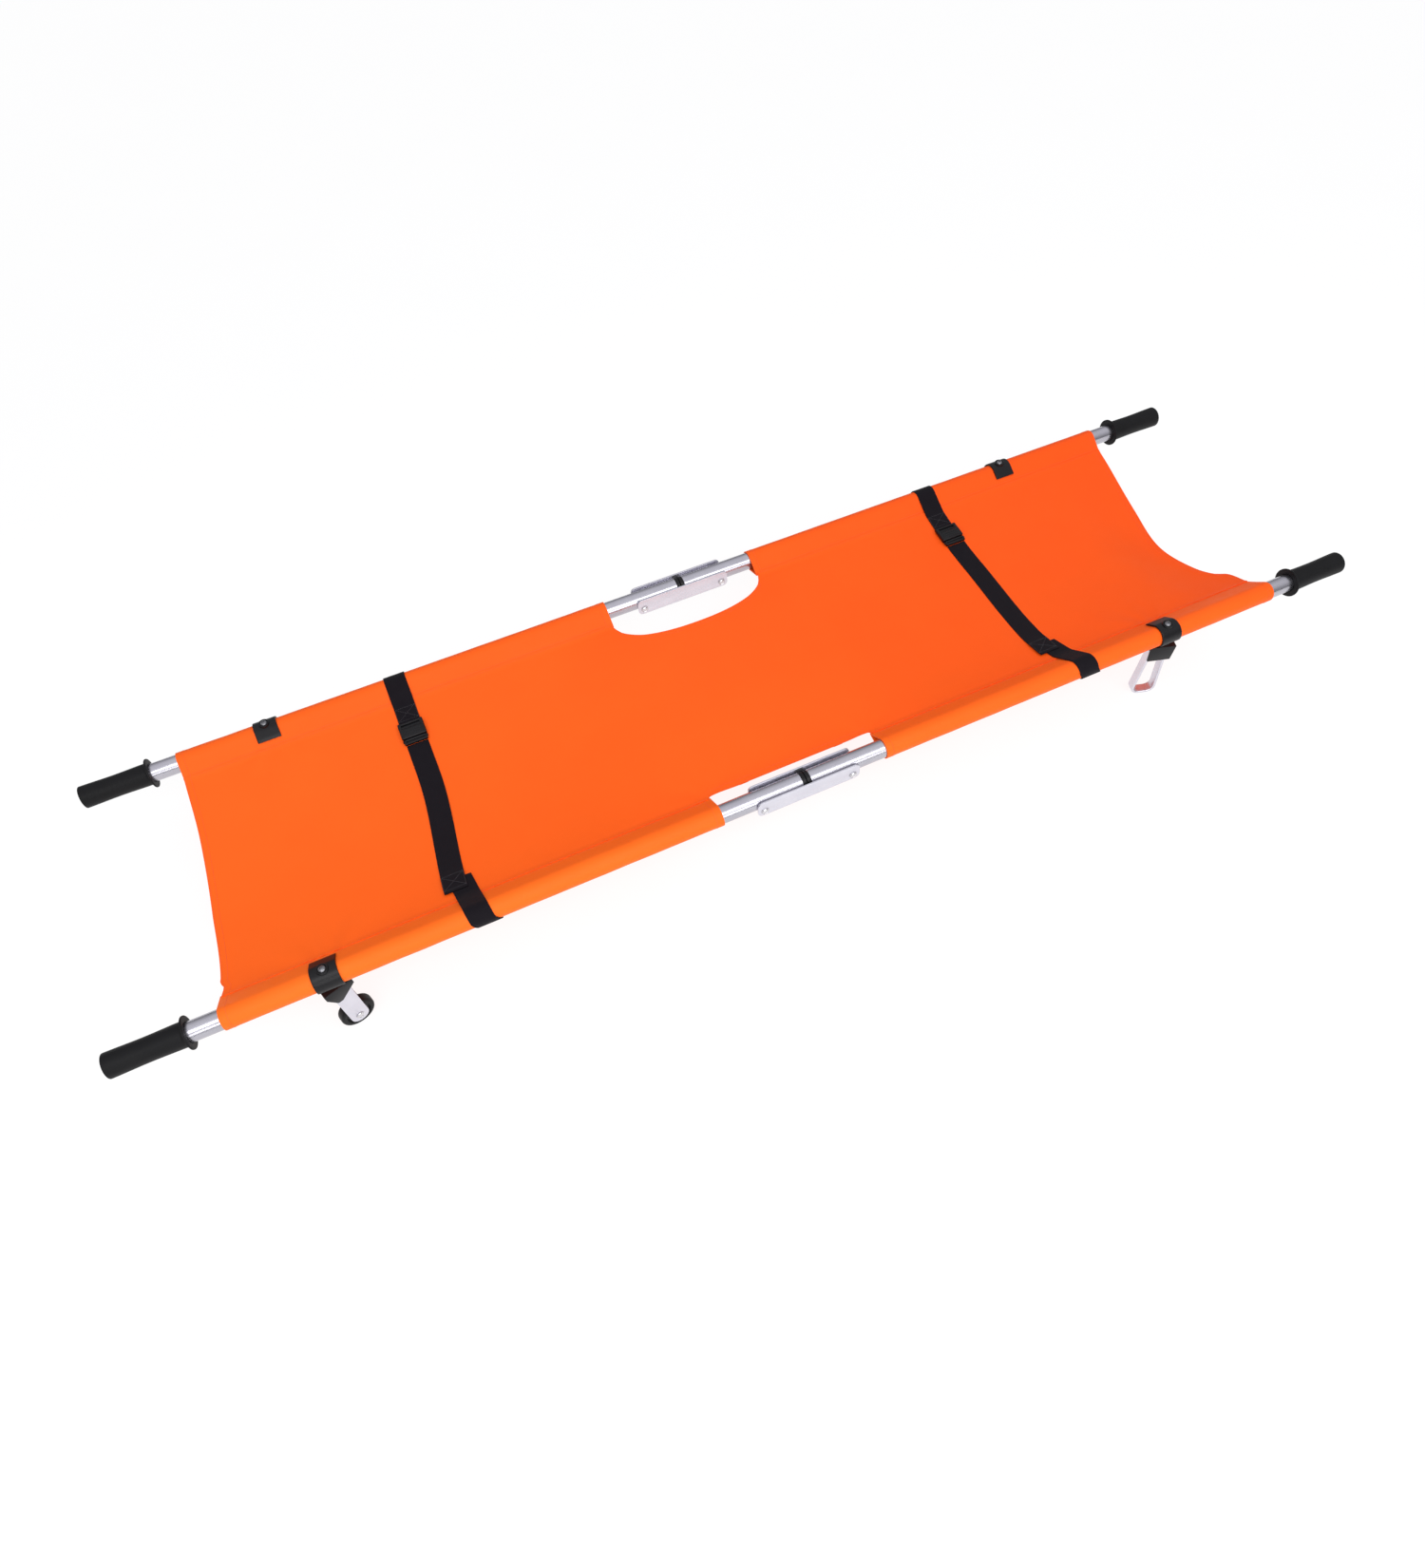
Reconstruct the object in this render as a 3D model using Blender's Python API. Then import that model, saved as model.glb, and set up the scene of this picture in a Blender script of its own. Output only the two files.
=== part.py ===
"""A folding stretcher: four half poles on two mid hinges, two spreader bars with legs, and a sling cover.

Frame: metres. +X runs along the poles towards the loop-foot end, +Y towards the rear pole, +Z up.
The origin lies on the floor under the middle of the deck. Every half pole folds down about its
hinge pin, and every spreader bar folds at its knee, which brings the two poles together.
"""

import math

import bmesh
import bpy
from mathutils import Matrix, Vector

# Driving dimensions of the frame
HALF_LENGTH = 1.100
POLE_Y = 0.258
AXIS_Z = 0.150
TUBE_R = 0.016
TUBE_WALL = 0.002
GAP = 0.0003

# Mid hinges: a channel under each pole with one pin for each half pole
PIN_X = 0.080
PIN_DROP = 0.009
PIN_R = 0.003
PIN_HEAD_R = 0.0055
PIN_CROWN_R = 0.0033
PIN_HEAD = 0.0022
CHANNEL_INNER = 0.017
CHANNEL_WALL = 0.003
CHANNEL_TOP = 0.013
CHANNEL_BOTTOM = -0.020
CHANNEL_END = 0.092
CHANNEL_CORNER = 0.009
WEB_END = 0.068
WEB_THICK = 0.0027
PLUG_RIM = 0.0065
PLUG_CHAMFER = 0.001
PLUG_STUB = 0.022
MIDDLE_GAP = 0.0005

# Hand grips on the pole ends
GRIP_START = 0.985
GRIP_R = 0.0195
GRIP_FLANGE_R = 0.026
GRIP_FLANGE = 0.003
GRIP_CAP = 0.005
GRIP_CHAMFER = 0.003

# Cover: sleeves round the poles and a sagging sheet between their seams
COVER_END = 0.938
SLEEVE_R = 0.018
SLEEVE_CLOTH = 0.0015
SEAM_IN = 0.041
SEAM_DROP = 0.006
CUTOUT_LEFT = -0.150
CUTOUT_RIGHT = 0.145
FRONT_CUTOUT_DEPTH = 0.0445
FRONT_CUTOUT_POWER = 6.0
REAR_CUTOUT_DEPTH = 0.098
REAR_CUTOUT_POWER = 2.2
SHEET_THICK = 0.0014
SHEET_SAG = 0.025
SHEET_EDGE_LIFT = 0.001
MIDDLE_DROP = 0.0022
MIDDLE_RUN = 0.045
SAG_START = 0.100
SAG_RUN = 0.250
FOOT_END_SAG = 0.014
FOOT_END_SAG_START = 0.760
FOOT_END_SAG_RUN = 0.150
END_CURVE = 0.018
END_CURVE_RUN = 0.250
PANEL_JOIN = 0.0890
PANEL_GAP = 0.0002
SHEET_COLUMNS = 11
MIDDLE_STEPS = 6
OUTER_STEPS = 9
CORNER_SHARES = (0, 0.4, 0.7, 0.88, 0.97, 1.0)

# Saddles, bolts and leg brackets
WHEEL_SIDE_X = -0.785
FOOT_SIDE_X = 0.713
SADDLE_WIDTH = 0.040
SADDLE_THICK = 0.003
SADDLE_FLANK_SHARE = 0.45
SADDLE_END_ANGLE = math.radians(203.0)
BOLT_R = 0.003
BOLT_HEAD_R = 0.0060
BOLT_HEAD = 0.0040
BRACKET_TOP = -0.0195
BRACKET_ROOF = -0.0290
BRACKET_HALF_WIDTH = 0.023
BRACKET_SHOULDER = -0.031
V_TIP_X = -0.008
V_TIP_HALF = 0.004
LOOP_CHEEK_HALF = 0.0205
BRACKET_BOTTOM = -0.053
BRACKET_HALF_DEPTH = 0.0167
BRACKET_SLOT_HALF = 0.0130
TONGUE_END = 0.052
TONGUE_HALF = 0.011
LEG_TOE = math.radians(18.0)

# Spreader bars: a lower front link and an upper rear link that meet at a knee pin
LINK_HALF = 0.011
LINK_THICK = 0.0065
REAR_LINK_TOP = -0.0380
LINK_START = 0.0240
STUD_X = 0.040
STUD_R = 0.003
STUD_HEIGHT = 0.008
KNEE_R = 0.004
KNEE_HEAD_R = 0.008
KNEE_HEAD = 0.002

# Legs
LEG_TOP = BRACKET_ROOF - GAP
FORK_HALF_WIDTH = 0.0145
FORK_FLANGE = 0.0025
FORK_HALF_DEPTH = 0.0127
FORK_WEB_END = -0.088
WHEEL_R = 0.0275
WHEEL_HALF = 0.009
WHEEL_CHAMFER = 0.0025
AXLE_R = 0.004
AXLE_HEAD_R = 0.0065
AXLE_HEAD = 0.002
LOOP_BAR = 0.005
LOOP_HALF_DEPTH = 0.009
LOOP_TOP_HALF = 0.0155
LOOP_FOOT_HALF = 0.0225
LOOP_FLAT_HALF = 0.007

# Belts across the deck
BELT_X = (-0.555, 0.535)
BELT_HALF = 0.019
WEBBING = 0.0015
BELT_STEP = 0.042
BELT_RISE = 0.001
BELT_FLAT_END = 0.012
BELT_TAIL_SHARE = 0.75
BUCKLE_IN = 0.118
SOCKET_HALF = 0.024
SOCKET_LENGTH = 0.034
SOCKET_THICK = 0.009
PLUG_HALF = 0.0216
PLUG_REACH = 0.011
PLUG_THICK = 0.00675
BUCKLE_CHAMFER = 0.2
BUCKLE_GAP = 0.0005

ROUND = 12
FINE_ROUND = 20
SECTION_POINTS = 14
SMOOTH_ANGLE = math.radians(35.0)

FINISHES = {
    "aluminium": ((0.42, 0.42, 0.44), 0.32, 1.0),
    "steel": ((0.60, 0.60, 0.62), 0.25, 1.0),
    "black_rubber": ((0.012, 0.012, 0.013), 0.62, 0.0),
    "black_plastic": ((0.015, 0.014, 0.016), 0.45, 0.0),
    "orange_fabric": ((1.0, 0.13, 0.02), 0.72, 0.0),
    "black_webbing": ((0.016, 0.014, 0.018), 0.80, 0.0),
}


def clear_scene():
    for old in list(bpy.data.objects):
        bpy.data.objects.remove(old, do_unlink=True)


def finish_of(name, slot):
    """A Principled material for one sub-part, with the colour, roughness and metallic value of its finish."""
    colour, roughness, metallic = FINISHES[slot]
    material = bpy.data.materials.new(name)
    material.use_nodes = True
    shader = material.node_tree.nodes["Principled BSDF"]
    shader.inputs["Base Color"].default_value = (*colour, 1.0)
    shader.inputs["Roughness"].default_value = roughness
    shader.inputs["Metallic"].default_value = metallic
    return material


def add_object(name, bm, slot, origin, cutter=False):
    """Link the world-space mesh as an object whose origin is at the given point."""
    bmesh.ops.recalc_face_normals(bm, faces=bm.faces)
    bm.transform(Matrix.Translation(-origin))
    mesh = bpy.data.meshes.new(name)
    bm.to_mesh(mesh)
    bm.free()
    mesh.shade_smooth()
    mesh.set_sharp_from_angle(angle=SMOOTH_ANGLE)
    obj = bpy.data.objects.new(name, mesh)
    bpy.context.scene.collection.objects.link(obj)
    obj.location = origin
    if cutter:
        obj.hide_render = True
        obj.display_type = "WIRE"
    else:
        mesh.materials.append(finish_of(name, slot))
    return obj


def combine(target, other, operation):
    """Add an exact Boolean of a hidden helper solid to the target."""
    modifier = target.modifiers.new(f"{operation.lower()}_{other.name}", "BOOLEAN")
    modifier.operation = operation
    modifier.object = other
    modifier.solver = "EXACT"


def helper(name, bm, origin):
    return add_object(name, bm, None, origin, cutter=True)


def prism(outline, offset):
    """A closed solid: the planar outline swept along the offset."""
    bm = bmesh.new()
    near = [bm.verts.new(point) for point in outline]
    far = [bm.verts.new(Vector(point) + offset) for point in outline]
    bm.faces.new(near)
    bm.faces.new(far)
    count = len(outline)
    for i in range(count):
        j = (i + 1) % count
        bm.faces.new((near[i], near[j], far[j], far[i]))
    return bm


def ring_prism(outer, inner, offset):
    """A closed tube: the band between two outlines of equal count, swept along the offset."""
    bm = bmesh.new()
    loops = []
    for outline in (outer, inner):
        loops.append([bm.verts.new(point) for point in outline])
        loops.append([bm.verts.new(Vector(point) + offset) for point in outline])
    count = len(outer)
    for i in range(count):
        j = (i + 1) % count
        for first, second in ((0, 1), (3, 2), (2, 0), (1, 3)):
            a, b = loops[first], loops[second]
            bm.faces.new((a[i], a[j], b[j], b[i]))
    return bm


def box(low, high):
    corners = [
        (low[0], low[1], low[2]),
        (high[0], low[1], low[2]),
        (high[0], high[1], low[2]),
        (low[0], high[1], low[2]),
    ]
    return prism(corners, Vector((0, 0, high[2] - low[2])))


def turned(profile, axis, centre, closed, segments=ROUND):
    """A solid of revolution. The profile holds (distance along the axis, radius) pairs."""
    bm = bmesh.new()
    turn = Vector((0, 0, 1)).rotation_difference(axis).to_matrix()
    rings = []
    for along, radius in profile:
        if radius == 0:
            rings.append([bm.verts.new(centre + turn @ Vector((0, 0, along)))])
            continue
        ring = []
        for i in range(segments):
            angle = 2 * math.pi * i / segments
            point = Vector((radius * math.cos(angle), radius * math.sin(angle), along))
            ring.append(bm.verts.new(centre + turn @ point))
        rings.append(ring)
    pairs = list(zip(rings, rings[1:]))
    if closed:
        pairs.append((rings[-1], rings[0]))
    for a, b in pairs:
        for i in range(segments):
            j = (i + 1) % segments
            corners = [a[i % len(a)], a[j % len(a)], b[j % len(b)], b[i % len(b)]]
            bm.faces.new(list(dict.fromkeys(corners)))
    return bm


def rod(radius, axis, centre, low, high, segments=ROUND):
    return turned([(low, 0), (low, radius), (high, radius), (high, 0)], axis, centre, False, segments)


def arc_points(centre, radius, start, end, count):
    step = (end - start) / (count - 1)
    angles = [start + step * i for i in range(count)]
    return [(centre[0] + radius * math.cos(a), centre[1] + radius * math.sin(a)) for a in angles]


def rounded_outline(half_width, low, high, corner):
    """An upright rectangle with round corners, as (x, z) pairs."""
    outline = []
    for start, sx, z in ((-90, 1, low), (0, 1, high), (90, -1, high), (180, -1, low)):
        inward = corner if z == low else -corner
        centre = (sx * (half_width - corner), z + inward)
        outline += arc_points(centre, corner, math.radians(start), math.radians(start + 90), 6)
    return outline


def thickened(path, thickness):
    """The closed outline of a band whose one face is the path and whose other face lies to its left."""
    points = [Vector(point) for point in path]
    other = []
    for i, point in enumerate(points):
        before = points[max(i - 1, 0)]
        after = points[min(i + 1, len(points) - 1)]
        along = (after - before).normalized()
        other.append(point + thickness * Vector((-along.y, along.x)))
    return points + other[::-1]


def end_name(sx):
    return "left" if sx < 0 else "right"


def pole_name(sy):
    return "front" if sy < 0 else "rear"


def side_name(sx, sy):
    return end_name(sx), pole_name(sy)


def pin_point(sx, sy):
    return Vector((sx * PIN_X, sy * POLE_Y, AXIS_Z - PIN_DROP))


def bolt_x(sx):
    return WHEEL_SIDE_X if sx < 0 else FOOT_SIDE_X


def world(x, sy, inboard, height):
    """A point given by its distance inboard of a pole's axis and its height over that axis."""
    return Vector((x, sy * (POLE_Y - inboard), AXIS_Z + height))


# The sleeve's section: a round turn over the pole and two straight flanks that meet at the seam.
SEAM = Vector((SEAM_IN, -SEAM_DROP))
SEAM_ANGLE = math.atan2(SEAM.y, SEAM.x)
TANGENT = math.acos(SLEEVE_R / SEAM.length)
UPPER = SEAM_ANGLE + TANGENT
LOWER = SEAM_ANGLE - TANGENT + 2 * math.pi


def sleeve_section(scale=1.0):
    turn = arc_points((0, 0), SLEEVE_R, UPPER, LOWER, SECTION_POINTS)
    return [(scale * u, scale * z) for u, z in [tuple(SEAM)] + turn]


def smooth_step(t):
    t = min(max(t, 0.0), 1.0)
    return t * t * (3 - 2 * t)


def sag_at(x):
    """The sheet hangs least over the hinges, where it has to turn a corner when the poles fold."""
    extra = FOOT_END_SAG * smooth_step((x - FOOT_END_SAG_START) / FOOT_END_SAG_RUN)
    return SHEET_SAG * smooth_step((abs(x) - SAG_START) / SAG_RUN) + extra


def sheet_height(x, y):
    """Height of the sheet's middle layer over the pole axes."""
    across = min(abs(y) / (POLE_Y - SEAM_IN), 1.0)
    level = SHEET_EDGE_LIFT - MIDDLE_DROP * (1 - smooth_step((abs(x) - SAG_START) / MIDDLE_RUN))
    return level - SEAM_DROP - sag_at(x) * (1 - across * across)


def make_channel(sy):
    """The U channel that carries both pins of one pole, open on top and below each swinging pole."""
    name = f"hinge_channel_{pole_name(sy)}"
    outer = CHANNEL_INNER + CHANNEL_WALL
    outline = rounded_outline(CHANNEL_END, CHANNEL_BOTTOM, CHANNEL_TOP, CHANNEL_CORNER)
    face = [Vector((x, sy * POLE_Y - outer, AXIS_Z + z)) for x, z in outline]
    centre = Vector((0, sy * POLE_Y, AXIS_Z))
    channel = add_object(name, prism(face, Vector((0, 2 * outer, 0))), "aluminium", centre)
    trough = box(
        (-HALF_LENGTH, centre.y - CHANNEL_INNER, AXIS_Z + CHANNEL_BOTTOM + WEB_THICK),
        (HALF_LENGTH, centre.y + CHANNEL_INNER, AXIS_Z + 2 * CHANNEL_TOP),
    )
    combine(channel, helper(f"trough_{name}", trough, centre), "DIFFERENCE")
    for sx in (-1, 1):
        ends = sorted((sx * WEB_END, sx * HALF_LENGTH))
        mouth = box(
            (ends[0], centre.y - CHANNEL_INNER, AXIS_Z + 2 * CHANNEL_BOTTOM),
            (ends[1], centre.y + CHANNEL_INNER, AXIS_Z + CHANNEL_TOP),
        )
        combine(channel, helper(f"mouth_{end_name(sx)}_{name}", mouth, centre), "DIFFERENCE")
        hole = rod(PIN_R + GAP, Vector((0, 1, 0)), pin_point(sx, sy), -2 * outer, 2 * outer)
        combine(channel, helper(f"hole_{end_name(sx)}_{name}", hole, centre), "DIFFERENCE")


def make_pin(sx, sy):
    """A rivet-headed hinge pin across the channel."""
    end, side = side_name(sx, sy)
    face = CHANNEL_INNER + CHANNEL_WALL + GAP
    half = [(0, PIN_R), (face, PIN_R), (face, PIN_HEAD_R), (face + PIN_HEAD / 2, PIN_HEAD_R)]
    half += [(face + PIN_HEAD, PIN_CROWN_R), (face + PIN_HEAD, 0)]
    profile = [(-along, radius) for along, radius in half[:0:-1]] + half[1:]
    bm = turned(profile, Vector((0, 1, 0)), pin_point(sx, sy), False)
    add_object(f"hinge_pin_{end}_{side}", bm, "steel", pin_point(sx, sy))


def make_pole(sx, sy):
    """A half pole: a round tube, open at both ends, with holes for its hinge pin and its leg bolt."""
    end, side = side_name(sx, sy)
    near = MIDDLE_GAP + PLUG_RIM + GAP
    far = HALF_LENGTH - GRIP_CAP - GAP
    inner = TUBE_R - TUBE_WALL
    profile = [(near, inner), (near, TUBE_R), (far, TUBE_R), (far, inner)]
    centre = Vector((0, sy * POLE_Y, AXIS_Z))
    bm = turned(profile, Vector((sx, 0, 0)), centre, True, FINE_ROUND)
    pole = add_object(f"pole_tube_{end}_{side}", bm, "aluminium", pin_point(sx, sy))
    crossing = rod(PIN_R + GAP, Vector((0, 1, 0)), pin_point(sx, sy), -2 * TUBE_R, 2 * TUBE_R)
    combine(pole, helper(f"pin_hole_{end}_{side}", crossing, centre), "DIFFERENCE")
    bolt = Vector((bolt_x(sx), sy * POLE_Y, AXIS_Z))
    drilled = rod(BOLT_R + GAP, Vector((0, 0, 1)), bolt, -2 * TUBE_R, 2 * TUBE_R)
    combine(pole, helper(f"bolt_hole_{end}_{side}", drilled, centre), "DIFFERENCE")


def make_end_plug(sx, sy):
    """A black plug in the inner end of a half pole. Its rim fills the gap between the two halves."""
    end, side = side_name(sx, sy)
    rim = MIDDLE_GAP + PLUG_RIM
    stub = TUBE_R - TUBE_WALL - GAP
    start = MIDDLE_GAP + PLUG_CHAMFER
    profile = [(MIDDLE_GAP, 0), (MIDDLE_GAP, TUBE_R - PLUG_CHAMFER), (start, TUBE_R)]
    profile += [(rim, TUBE_R), (rim, stub), (rim + PLUG_STUB, stub), (rim + PLUG_STUB, 0)]
    centre = Vector((0, sy * POLE_Y, AXIS_Z))
    bm = turned(profile, Vector((sx, 0, 0)), centre, False, FINE_ROUND)
    add_object(f"pole_plug_{end}_{side}", bm, "black_plastic", pin_point(sx, sy))


def make_grip(sx, sy):
    """A rubber hand grip: a cup over the pole's outer end with a thin flange at its mouth."""
    end, side = side_name(sx, sy)
    bore = TUBE_R + GAP
    lip = GRIP_START + GRIP_FLANGE
    inside = HALF_LENGTH - GRIP_CAP
    profile = [(inside, 0), (inside, bore), (GRIP_START, bore), (GRIP_START, GRIP_FLANGE_R)]
    profile += [(lip, GRIP_FLANGE_R), (lip, GRIP_R), (HALF_LENGTH - GRIP_CHAMFER, GRIP_R)]
    profile += [(HALF_LENGTH, GRIP_R - GRIP_CHAMFER), (HALF_LENGTH, 0)]
    centre = Vector((0, sy * POLE_Y, AXIS_Z))
    bm = turned(profile, Vector((sx, 0, 0)), centre, False, FINE_ROUND)
    add_object(f"hand_grip_{end}_{side}", bm, "black_rubber", pin_point(sx, sy))


def make_sleeve(sx, sy):
    """One length of the cover's pole sleeve, from the cover's end to the hand-hold cut-out."""
    end, side = side_name(sx, sy)
    start = CUTOUT_LEFT if sx < 0 else CUTOUT_RIGHT
    inner = 1 - SLEEVE_CLOTH / SLEEVE_R
    outer_loop = [world(start, sy, u, z) for u, z in sleeve_section()]
    inner_loop = [world(start, sy, u, z) for u, z in sleeve_section(inner)]
    bm = ring_prism(outer_loop, inner_loop, Vector((sx * COVER_END - start, 0, 0)))
    sleeve = add_object(f"cover_sleeve_{end}_{side}", bm, "orange_fabric", pin_point(sx, sy))
    bolt = Vector((bolt_x(sx), sy * POLE_Y, AXIS_Z))
    hole = rod(BOLT_R + GAP, Vector((0, 0, 1)), bolt, -2 * SLEEVE_R, 2 * SLEEVE_R)
    combine(sleeve, helper(f"sleeve_hole_{end}_{side}", hole, bolt), "DIFFERENCE")


def cutout_edge(x, depth, power):
    """Distance inboard of the pole axis at which the sheet starts, along a hand-hold cut-out."""
    middle = (CUTOUT_LEFT + CUTOUT_RIGHT) / 2
    share = min(abs(x - middle) / ((CUTOUT_RIGHT - CUTOUT_LEFT) / 2), 1.0)
    edge = SEAM_IN + GAP
    return edge + (depth - edge) * (1 - share**power) ** (1 / power)


def make_sheet(name, stations, origin):
    """A thin closed panel of the sheet through stations along X, between the two seams or cut-outs."""
    bm = bmesh.new()
    layers = ([], [])
    for x in stations:
        low = -(POLE_Y - cutout_edge(x, FRONT_CUTOUT_DEPTH, FRONT_CUTOUT_POWER))
        high = POLE_Y - cutout_edge(x, REAR_CUTOUT_DEPTH, REAR_CUTOUT_POWER)
        near_end = max(0.0, 1 - (COVER_END - abs(x)) / END_CURVE_RUN)
        rows = ([], [])
        for i in range(SHEET_COLUMNS):
            y = low + (high - low) * i / (SHEET_COLUMNS - 1)
            across = y / (POLE_Y - SEAM_IN)
            pulled = x - math.copysign(END_CURVE * near_end * (1 - across * across), x)
            for row, side in zip(rows, (-0.5, 0.5)):
                height = AXIS_Z + sheet_height(x, y) + side * SHEET_THICK
                row.append(bm.verts.new((pulled, y, height)))
        for layer, row in zip(layers, rows):
            layer.append(row)
    for layer in layers:
        for a, b in zip(layer, layer[1:]):
            for i in range(SHEET_COLUMNS - 1):
                bm.faces.new((a[i], a[i + 1], b[i + 1], b[i]))
    rims = [[row[0] for row in layer] for layer in layers]
    rims += [[row[-1] for row in layer] for layer in layers]
    rims += [layer[0] for layer in layers] + [layer[-1] for layer in layers]
    for below, above in zip(rims[0::2], rims[1::2]):
        for i in range(len(below) - 1):
            bm.faces.new((below[i], below[i + 1], above[i + 1], above[i]))
    add_object(name, bm, "orange_fabric", origin)


def sheet_stations(sx):
    """Stations of an outer panel: close together round the corner of the cut-out, then wider apart."""
    corner = CUTOUT_LEFT if sx < 0 else CUTOUT_RIGHT
    start = sx * (PANEL_JOIN + PANEL_GAP)
    near = [start + (corner - start) * share for share in CORNER_SHARES]
    step = (sx * COVER_END - corner) / OUTER_STEPS
    return near + [corner + step * i for i in range(1, OUTER_STEPS + 1)]


def make_sheets():
    for sx in (-1, 1):
        make_sheet(f"cover_sheet_{end_name(sx)}", sheet_stations(sx), pin_point(sx, -1))
    reach = PANEL_JOIN - PANEL_GAP
    step = 2 * reach / MIDDLE_STEPS
    stations = [-reach + step * i for i in range(MIDDLE_STEPS + 1)]
    make_sheet("cover_sheet_middle", stations, Vector((0, -POLE_Y, AXIS_Z)))


def make_saddle(sx, sy):
    """A plastic saddle over the sleeve, under the head of the leg bolt."""
    end, side = side_name(sx, sy)
    low = (SLEEVE_R + 2 * GAP) / SLEEVE_R
    high = (SLEEVE_R + 2 * GAP + SADDLE_THICK) / SLEEVE_R
    shoulder = Vector(arc_points((0, 0), SLEEVE_R, UPPER, UPPER, 2)[0])
    start = shoulder.lerp(SEAM, SADDLE_FLANK_SHARE)
    path = [tuple(start)] + arc_points((0, 0), SLEEVE_R, UPPER, SADDLE_END_ANGLE, 10)
    outline = [(low * u, low * z) for u, z in path] + [(high * u, high * z) for u, z in path[::-1]]
    left = bolt_x(sx) - SADDLE_WIDTH / 2
    bm = prism([world(left, sy, u, z) for u, z in outline], Vector((SADDLE_WIDTH, 0, 0)))
    bolt = Vector((bolt_x(sx), sy * POLE_Y, AXIS_Z))
    saddle = add_object(f"saddle_{end}_{side}", bm, "black_plastic", bolt)
    hole = rod(BOLT_R + GAP, Vector((0, 0, 1)), bolt, 0, 2 * SLEEVE_R)
    combine(saddle, helper(f"saddle_hole_{end}_{side}", hole, bolt), "DIFFERENCE")


def make_bolt(sx, sy):
    """A domed bolt down through saddle, sleeve and pole into the leg bracket."""
    end, side = side_name(sx, sy)
    seat = SLEEVE_R + 3 * GAP + SADDLE_THICK
    tip = BRACKET_ROOF + 2 * GAP
    profile = [(tip, 0), (tip, BOLT_R), (seat, BOLT_R)]
    dome = arc_points((seat, 0), 1.0, math.radians(90), 0, 4)
    profile += [(seat + (a - seat) * BOLT_HEAD, b * BOLT_HEAD_R) for a, b in dome[:-1]]
    profile.append((seat + BOLT_HEAD, 0))
    bolt = Vector((bolt_x(sx), sy * POLE_Y, AXIS_Z))
    bm = turned(profile, Vector((0, 0, 1)), bolt, False)
    add_object(f"leg_bolt_{end}_{side}", bm, "steel", bolt)


def toe_turn(sx, sy):
    """The legs stand toed towards the middle of the stretcher, in mirror image on the two poles."""
    return Matrix.Rotation(sx * sy * LEG_TOE, 3, "Z")


def leg_frame(bm, sx, sy):
    """Move a mesh made about the bolt axis to its place under a pole."""
    turn = toe_turn(sx, sy).to_4x4()
    bolt = Vector((bolt_x(sx), sy * POLE_Y, AXIS_Z))
    bm.transform(Matrix.Translation(bolt) @ turn)
    return bm


def make_bracket(sx, sy):
    """A bracket that turns on the leg bolt: a roof, two cheeks round the leg and a tongue for the link."""
    end, side = side_name(sx, sy)
    wide = BRACKET_HALF_WIDTH
    outline = [(-wide, BRACKET_TOP), (wide, BRACKET_TOP)]
    if sx < 0:
        outline += [(wide, BRACKET_SHOULDER), (V_TIP_X + V_TIP_HALF, BRACKET_BOTTOM)]
        outline += [(V_TIP_X - V_TIP_HALF, BRACKET_BOTTOM), (-wide, BRACKET_SHOULDER)]
    else:
        outline += [(LOOP_CHEEK_HALF, BRACKET_BOTTOM), (-LOOP_CHEEK_HALF, BRACKET_BOTTOM)]
    face = [Vector((x, -BRACKET_HALF_DEPTH, z)) for x, z in outline]
    bm = leg_frame(prism(face, Vector((0, 2 * BRACKET_HALF_DEPTH, 0))), sx, sy)
    bolt = Vector((bolt_x(sx), sy * POLE_Y, AXIS_Z))
    bracket = add_object(f"leg_bracket_{end}_{side}", bm, "black_plastic", bolt)
    ends = (world(bolt.x, sy, BRACKET_SLOT_HALF, 0).y, world(bolt.x, sy, TONGUE_END, 0).y)
    tongue = box(
        (bolt.x - TONGUE_HALF, min(ends), AXIS_Z + link_top(sy) + GAP),
        (bolt.x + TONGUE_HALF, max(ends), AXIS_Z + BRACKET_TOP),
    )
    combine(bracket, helper(f"tongue_{end}_{side}", tongue, bolt), "UNION")
    slot_low = (-2 * wide, -BRACKET_SLOT_HALF, 2 * BRACKET_BOTTOM)
    slot_high = (2 * wide, BRACKET_SLOT_HALF, BRACKET_ROOF)
    slot = box(slot_low, slot_high)
    combine(bracket, helper(f"slot_{end}_{side}", leg_frame(slot, sx, sy), bolt), "DIFFERENCE")
    hole = rod(BOLT_R + GAP, Vector((0, 0, 1)), bolt, 2 * BRACKET_BOTTOM, 0)
    combine(bracket, helper(f"bracket_hole_{end}_{side}", hole, bolt), "DIFFERENCE")
    stud = world(bolt.x, sy, STUD_X, link_top(sy))
    socket = rod(STUD_R + GAP, Vector((0, 0, 1)), stud, -GAP, STUD_HEIGHT + GAP)
    combine(bracket, helper(f"stud_socket_{end}_{side}", socket, bolt), "DIFFERENCE")


def link_top(sy):
    """The rear links lie over the front links, so that they can fold past each other."""
    return REAR_LINK_TOP if sy > 0 else REAR_LINK_TOP - LINK_THICK - GAP


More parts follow.
